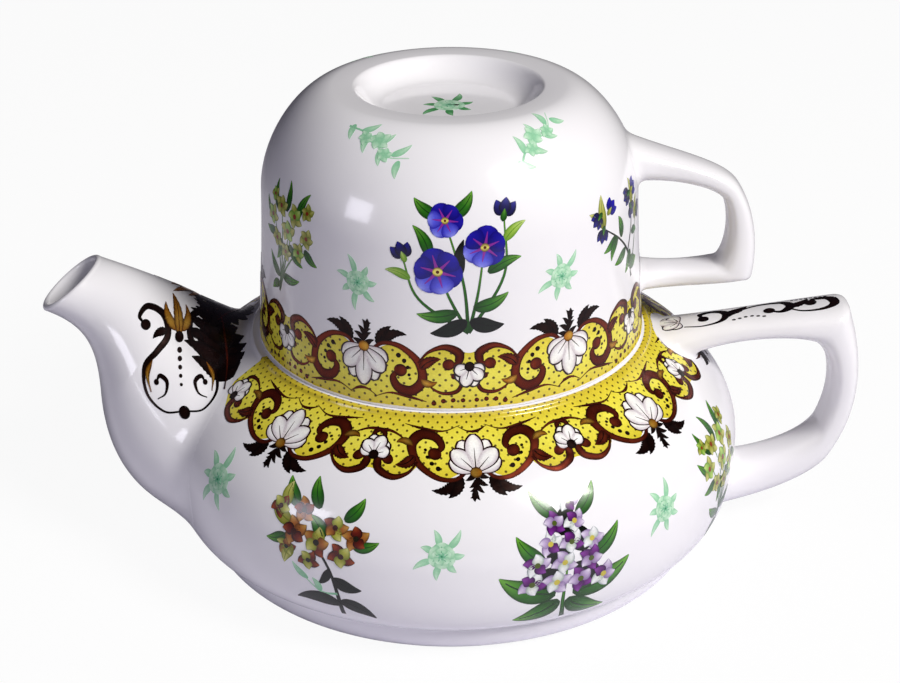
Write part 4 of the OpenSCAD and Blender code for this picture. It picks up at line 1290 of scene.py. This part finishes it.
spout_face = spout_outside[:-1] * [-1, 1, 1]
spout_chart = swept_chart(spout_face)
LYRE_ROW, LYRE_UP, LYRE_TURN, LYRE_SIZE = 137, 12, 48, 0.95
SHADE_SPRIG_ROW, SHADE_SPRIG_UP, SHADE_SPRIG_TURN, SHADE_SPRIG_SIZE = 164, 19, 70, 1.08
FRONT, REAR = SPOUT_SIDES * 3 // 4, SPOUT_SIDES // 4
spout_gilt = []
for column, flip in ((FRONT, 1), (REAR, -1)):
    lyre(spout_gilt, pose(
        spout_chart, LYRE_ROW, column + flip * LYRE_UP, flip * LYRE_TURN, LYRE_SIZE, flip
    ))
    # A dark sprig in the corner by the spout's root, partly print and partly painted shade.
    corner_shade_sprig(spout_gilt, pose(
        spout_chart, SHADE_SPRIG_ROW, column + flip * SHADE_SPRIG_UP, flip * SHADE_SPRIG_TURN, SHADE_SPRIG_SIZE, flip
    ))
printed("spout_gilding", spout_gilt, lustre)

# Gilding of the handle
# The strap's top carries a run of dark lustre scrolls with leaves and beads, and a small white enamel fan
# where it leaves the pot.
strap_chart = swept_chart(pot_grid)
STRAP_ROW, STRAP_SIZE = 1, 1.08
handle_gilt, handle_white = [], []
at = pose(strap_chart, STRAP_ROW, 0, 90, STRAP_SIZE)
scroll(handle_gilt, at, [(6.5, 3.4), (10.5, 4.6), (14.6, 3), (16, -0.8), (13.4, -3.2), (10.6, -2),
                         (11, 0.6)], 2.0, *INK, 3, 0.6)
scroll(handle_gilt, at, [(15.6, 1.6), (19.6, -1.4), (24, -3.8), (28.4, -3.4), (30.2, -0.4), (28, 2),
                         (25.4, 0.8)], 2.1, *INK, 3, 0.6)
scroll(handle_gilt, at, [(29.6, 0.6), (32.6, 3.2), (36.8, 3.4), (39.6, 1), (38.8, -2.2), (35.8, -2.8),
                         (34.6, -0.8)], 2.3, *INK, 3, 0.6)
leaf(handle_gilt, at, (15.6, -0.4), (21, -4.6), 2.6, *INK, None, 0.2, 4, 0.16)
leaf(handle_gilt, at, (29.8, 0), (34.4, -3.8), 2.4, *INK, None, 0.2, 4, 0.16)
beads(handle_gilt, at, [(17.4, 3.4), (21, 2.4), (24, 3.6)], 0.42, 0.42, *INK, 3)
beads(handle_gilt, at, [(31, -4.2), (34.6, -4.6), (38.4, -4.2)], 0.36, 0.36, *INK, 3)
fan(handle_white, at, (5.6, 0.4), 5.4, 6, 66, *CREAM, "140604", 4, 180.0)
printed("handle_gilding", handle_gilt, lustre)
printed("handle_print", handle_white, enamel)

# Table, backdrop and light
# A plain white table under a wide soft lamp at the upper right, a weaker one at the left, and a white room.
CAMERA_TILT, CAMERA_ROLL, CAMERA_AWAY = math.radians(26.498), math.radians(-0.506), 430.0
AIM = np.array([-0.24, 0.0, 47.43])
FOCAL_PX, PHOTO_W = 1807.5, 900
SENSOR_W = 36.0

back = np.array([0, -math.cos(CAMERA_TILT), math.sin(CAMERA_TILT)])
flat_right = np.array([1.0, 0, 0])
flat_up = np.cross(flat_right, -back)
right = math.cos(CAMERA_ROLL) * flat_right + math.sin(CAMERA_ROLL) * flat_up
above = -math.sin(CAMERA_ROLL) * flat_right + math.cos(CAMERA_ROLL) * flat_up
camera_data = bpy.data.cameras.new("camera")
camera_data.sensor_width = SENSOR_W
camera_data.lens = FOCAL_PX * SENSOR_W / PHOTO_W
camera_data.clip_start = 0.01
camera = bpy.data.objects.new("camera", camera_data)
place = np.eye(4)
place[:3, 0], place[:3, 1], place[:3, 2] = right, above, back
place[:3, 3] = (AIM + CAMERA_AWAY * back) * MM
camera.matrix_world = Matrix(place.tolist())
bpy.context.scene.collection.objects.link(camera)
bpy.context.scene.camera = camera


def lamp(name, at, aim, size, watts, colour, matt=1.0):
    """A square soft lamp at a place in mm, turned to a point. matt is its share of light on what doesn't
    mirror it."""
    data = bpy.data.lights.new(name, "AREA")
    data.shape = "SQUARE"
    data.size = size * MM
    data.energy = watts
    data.color = linear(colour)[:3]
    data.diffuse_factor = matt
    made = bpy.data.objects.new(name, data)
    made.location = Vector(at) * MM
    made.rotation_euler = (Vector(at) - Vector(aim)).to_track_quat("Z", "Y").to_euler()
    bpy.context.scene.collection.objects.link(made)


LAMP_AIM = (0, 0, 40)
lamp("key", (590, -500, 740), LAMP_AIM, 320, 10.9, "FFFDF8")
lamp("window", (-560, -400, 240), LAMP_AIM, 190, 0.7, "F4F2FF", 0.35)

ROOM_LIGHT = 0.045
world = bpy.data.worlds.new("white_room")
bpy.context.scene.world = world
world.use_nodes = True
tree = world.node_tree
tree.nodes.clear()
rays = node(tree, "ShaderNodeLightPath")
seen = node(tree, "ShaderNodeMath", {
    0: rays.outputs["Is Camera Ray"], 1: rays.outputs["Is Transmission Ray"],
}, operation="MAXIMUM")
dim = node(tree, "ShaderNodeBackground", {"Color": linear("D8D0F4"), "Strength": ROOM_LIGHT})
white = node(tree, "ShaderNodeBackground", {"Color": linear("FFFFFF"), "Strength": 1.0})
both = node(tree, "ShaderNodeMixShader", {
    "Fac": seen.outputs[0], 1: dim.outputs["Background"], 2: white.outputs["Background"],
})
node(tree, "ShaderNodeOutputWorld", {"Surface": both.outputs["Shader"]})

# Sheet of white paper: it shows near white to the camera and keeps a faint shadow under the pot. It throws
# light up from close by only, as a small sheet does on a darker table.
PAPER_NEAR, PAPER_FAR, PAPER_GLOW = 0.2, 0.45, 0.94
paper, tree = finish_of("white_paper")
rays = node(tree, "ShaderNodeLightPath")
spot = node(tree, "ShaderNodeTexCoord")
away = node(tree, "ShaderNodeVectorMath", {0: spot.outputs["Object"]}, operation="LENGTH")
fall = node(tree, "ShaderNodeMapRange", {
    "Value": away.outputs["Value"], "From Min": PAPER_NEAR, "From Max": PAPER_FAR,
})
sheet = node(tree, "ShaderNodeMix", {
    "Factor": fall.outputs["Result"], "A": linear("DEDCE8"), "B": linear("6A6874"),
}, data_type="RGBA")
tone = node(tree, "ShaderNodeMix", {
    "Factor": rays.outputs["Is Camera Ray"], "A": sheet.outputs["Result"], "B": linear("FAF9FC"),
}, data_type="RGBA")
lit = node(tree, "ShaderNodeBsdfDiffuse", {"Color": tone.outputs["Result"]})
bright = node(tree, "ShaderNodeEmission", {"Color": linear("FFFFFF"), "Strength": 1.0})
share = node(tree, "ShaderNodeMath", {0: rays.outputs["Is Camera Ray"], 1: PAPER_GLOW}, operation="MULTIPLY")
mixed = node(tree, "ShaderNodeMixShader", {
    "Fac": share.outputs[0], 1: lit.outputs["BSDF"], 2: bright.outputs["Emission"],
})
node(tree, "ShaderNodeOutputMaterial", {"Surface": mixed.outputs["Shader"]})
FLOOR_R, FLOOR_SIDES = 4000.0, 48
turn = np.linspace(0, 2 * math.pi, FLOOR_SIDES, endpoint=False)
table_edge = np.stack([FLOOR_R * np.cos(turn), FLOOR_R * np.sin(turn), 0 * turn], 1)
floor_mesh = bpy.data.meshes.new("table")
floor_mesh.from_pydata((table_edge * MM).tolist(), [], [list(range(FLOOR_SIDES))])
floor_mesh.materials.append(paper)
floor = bpy.data.objects.new("table", floor_mesh)
bpy.context.scene.collection.objects.link(floor)

bpy.context.scene.view_settings.view_transform = "Standard"
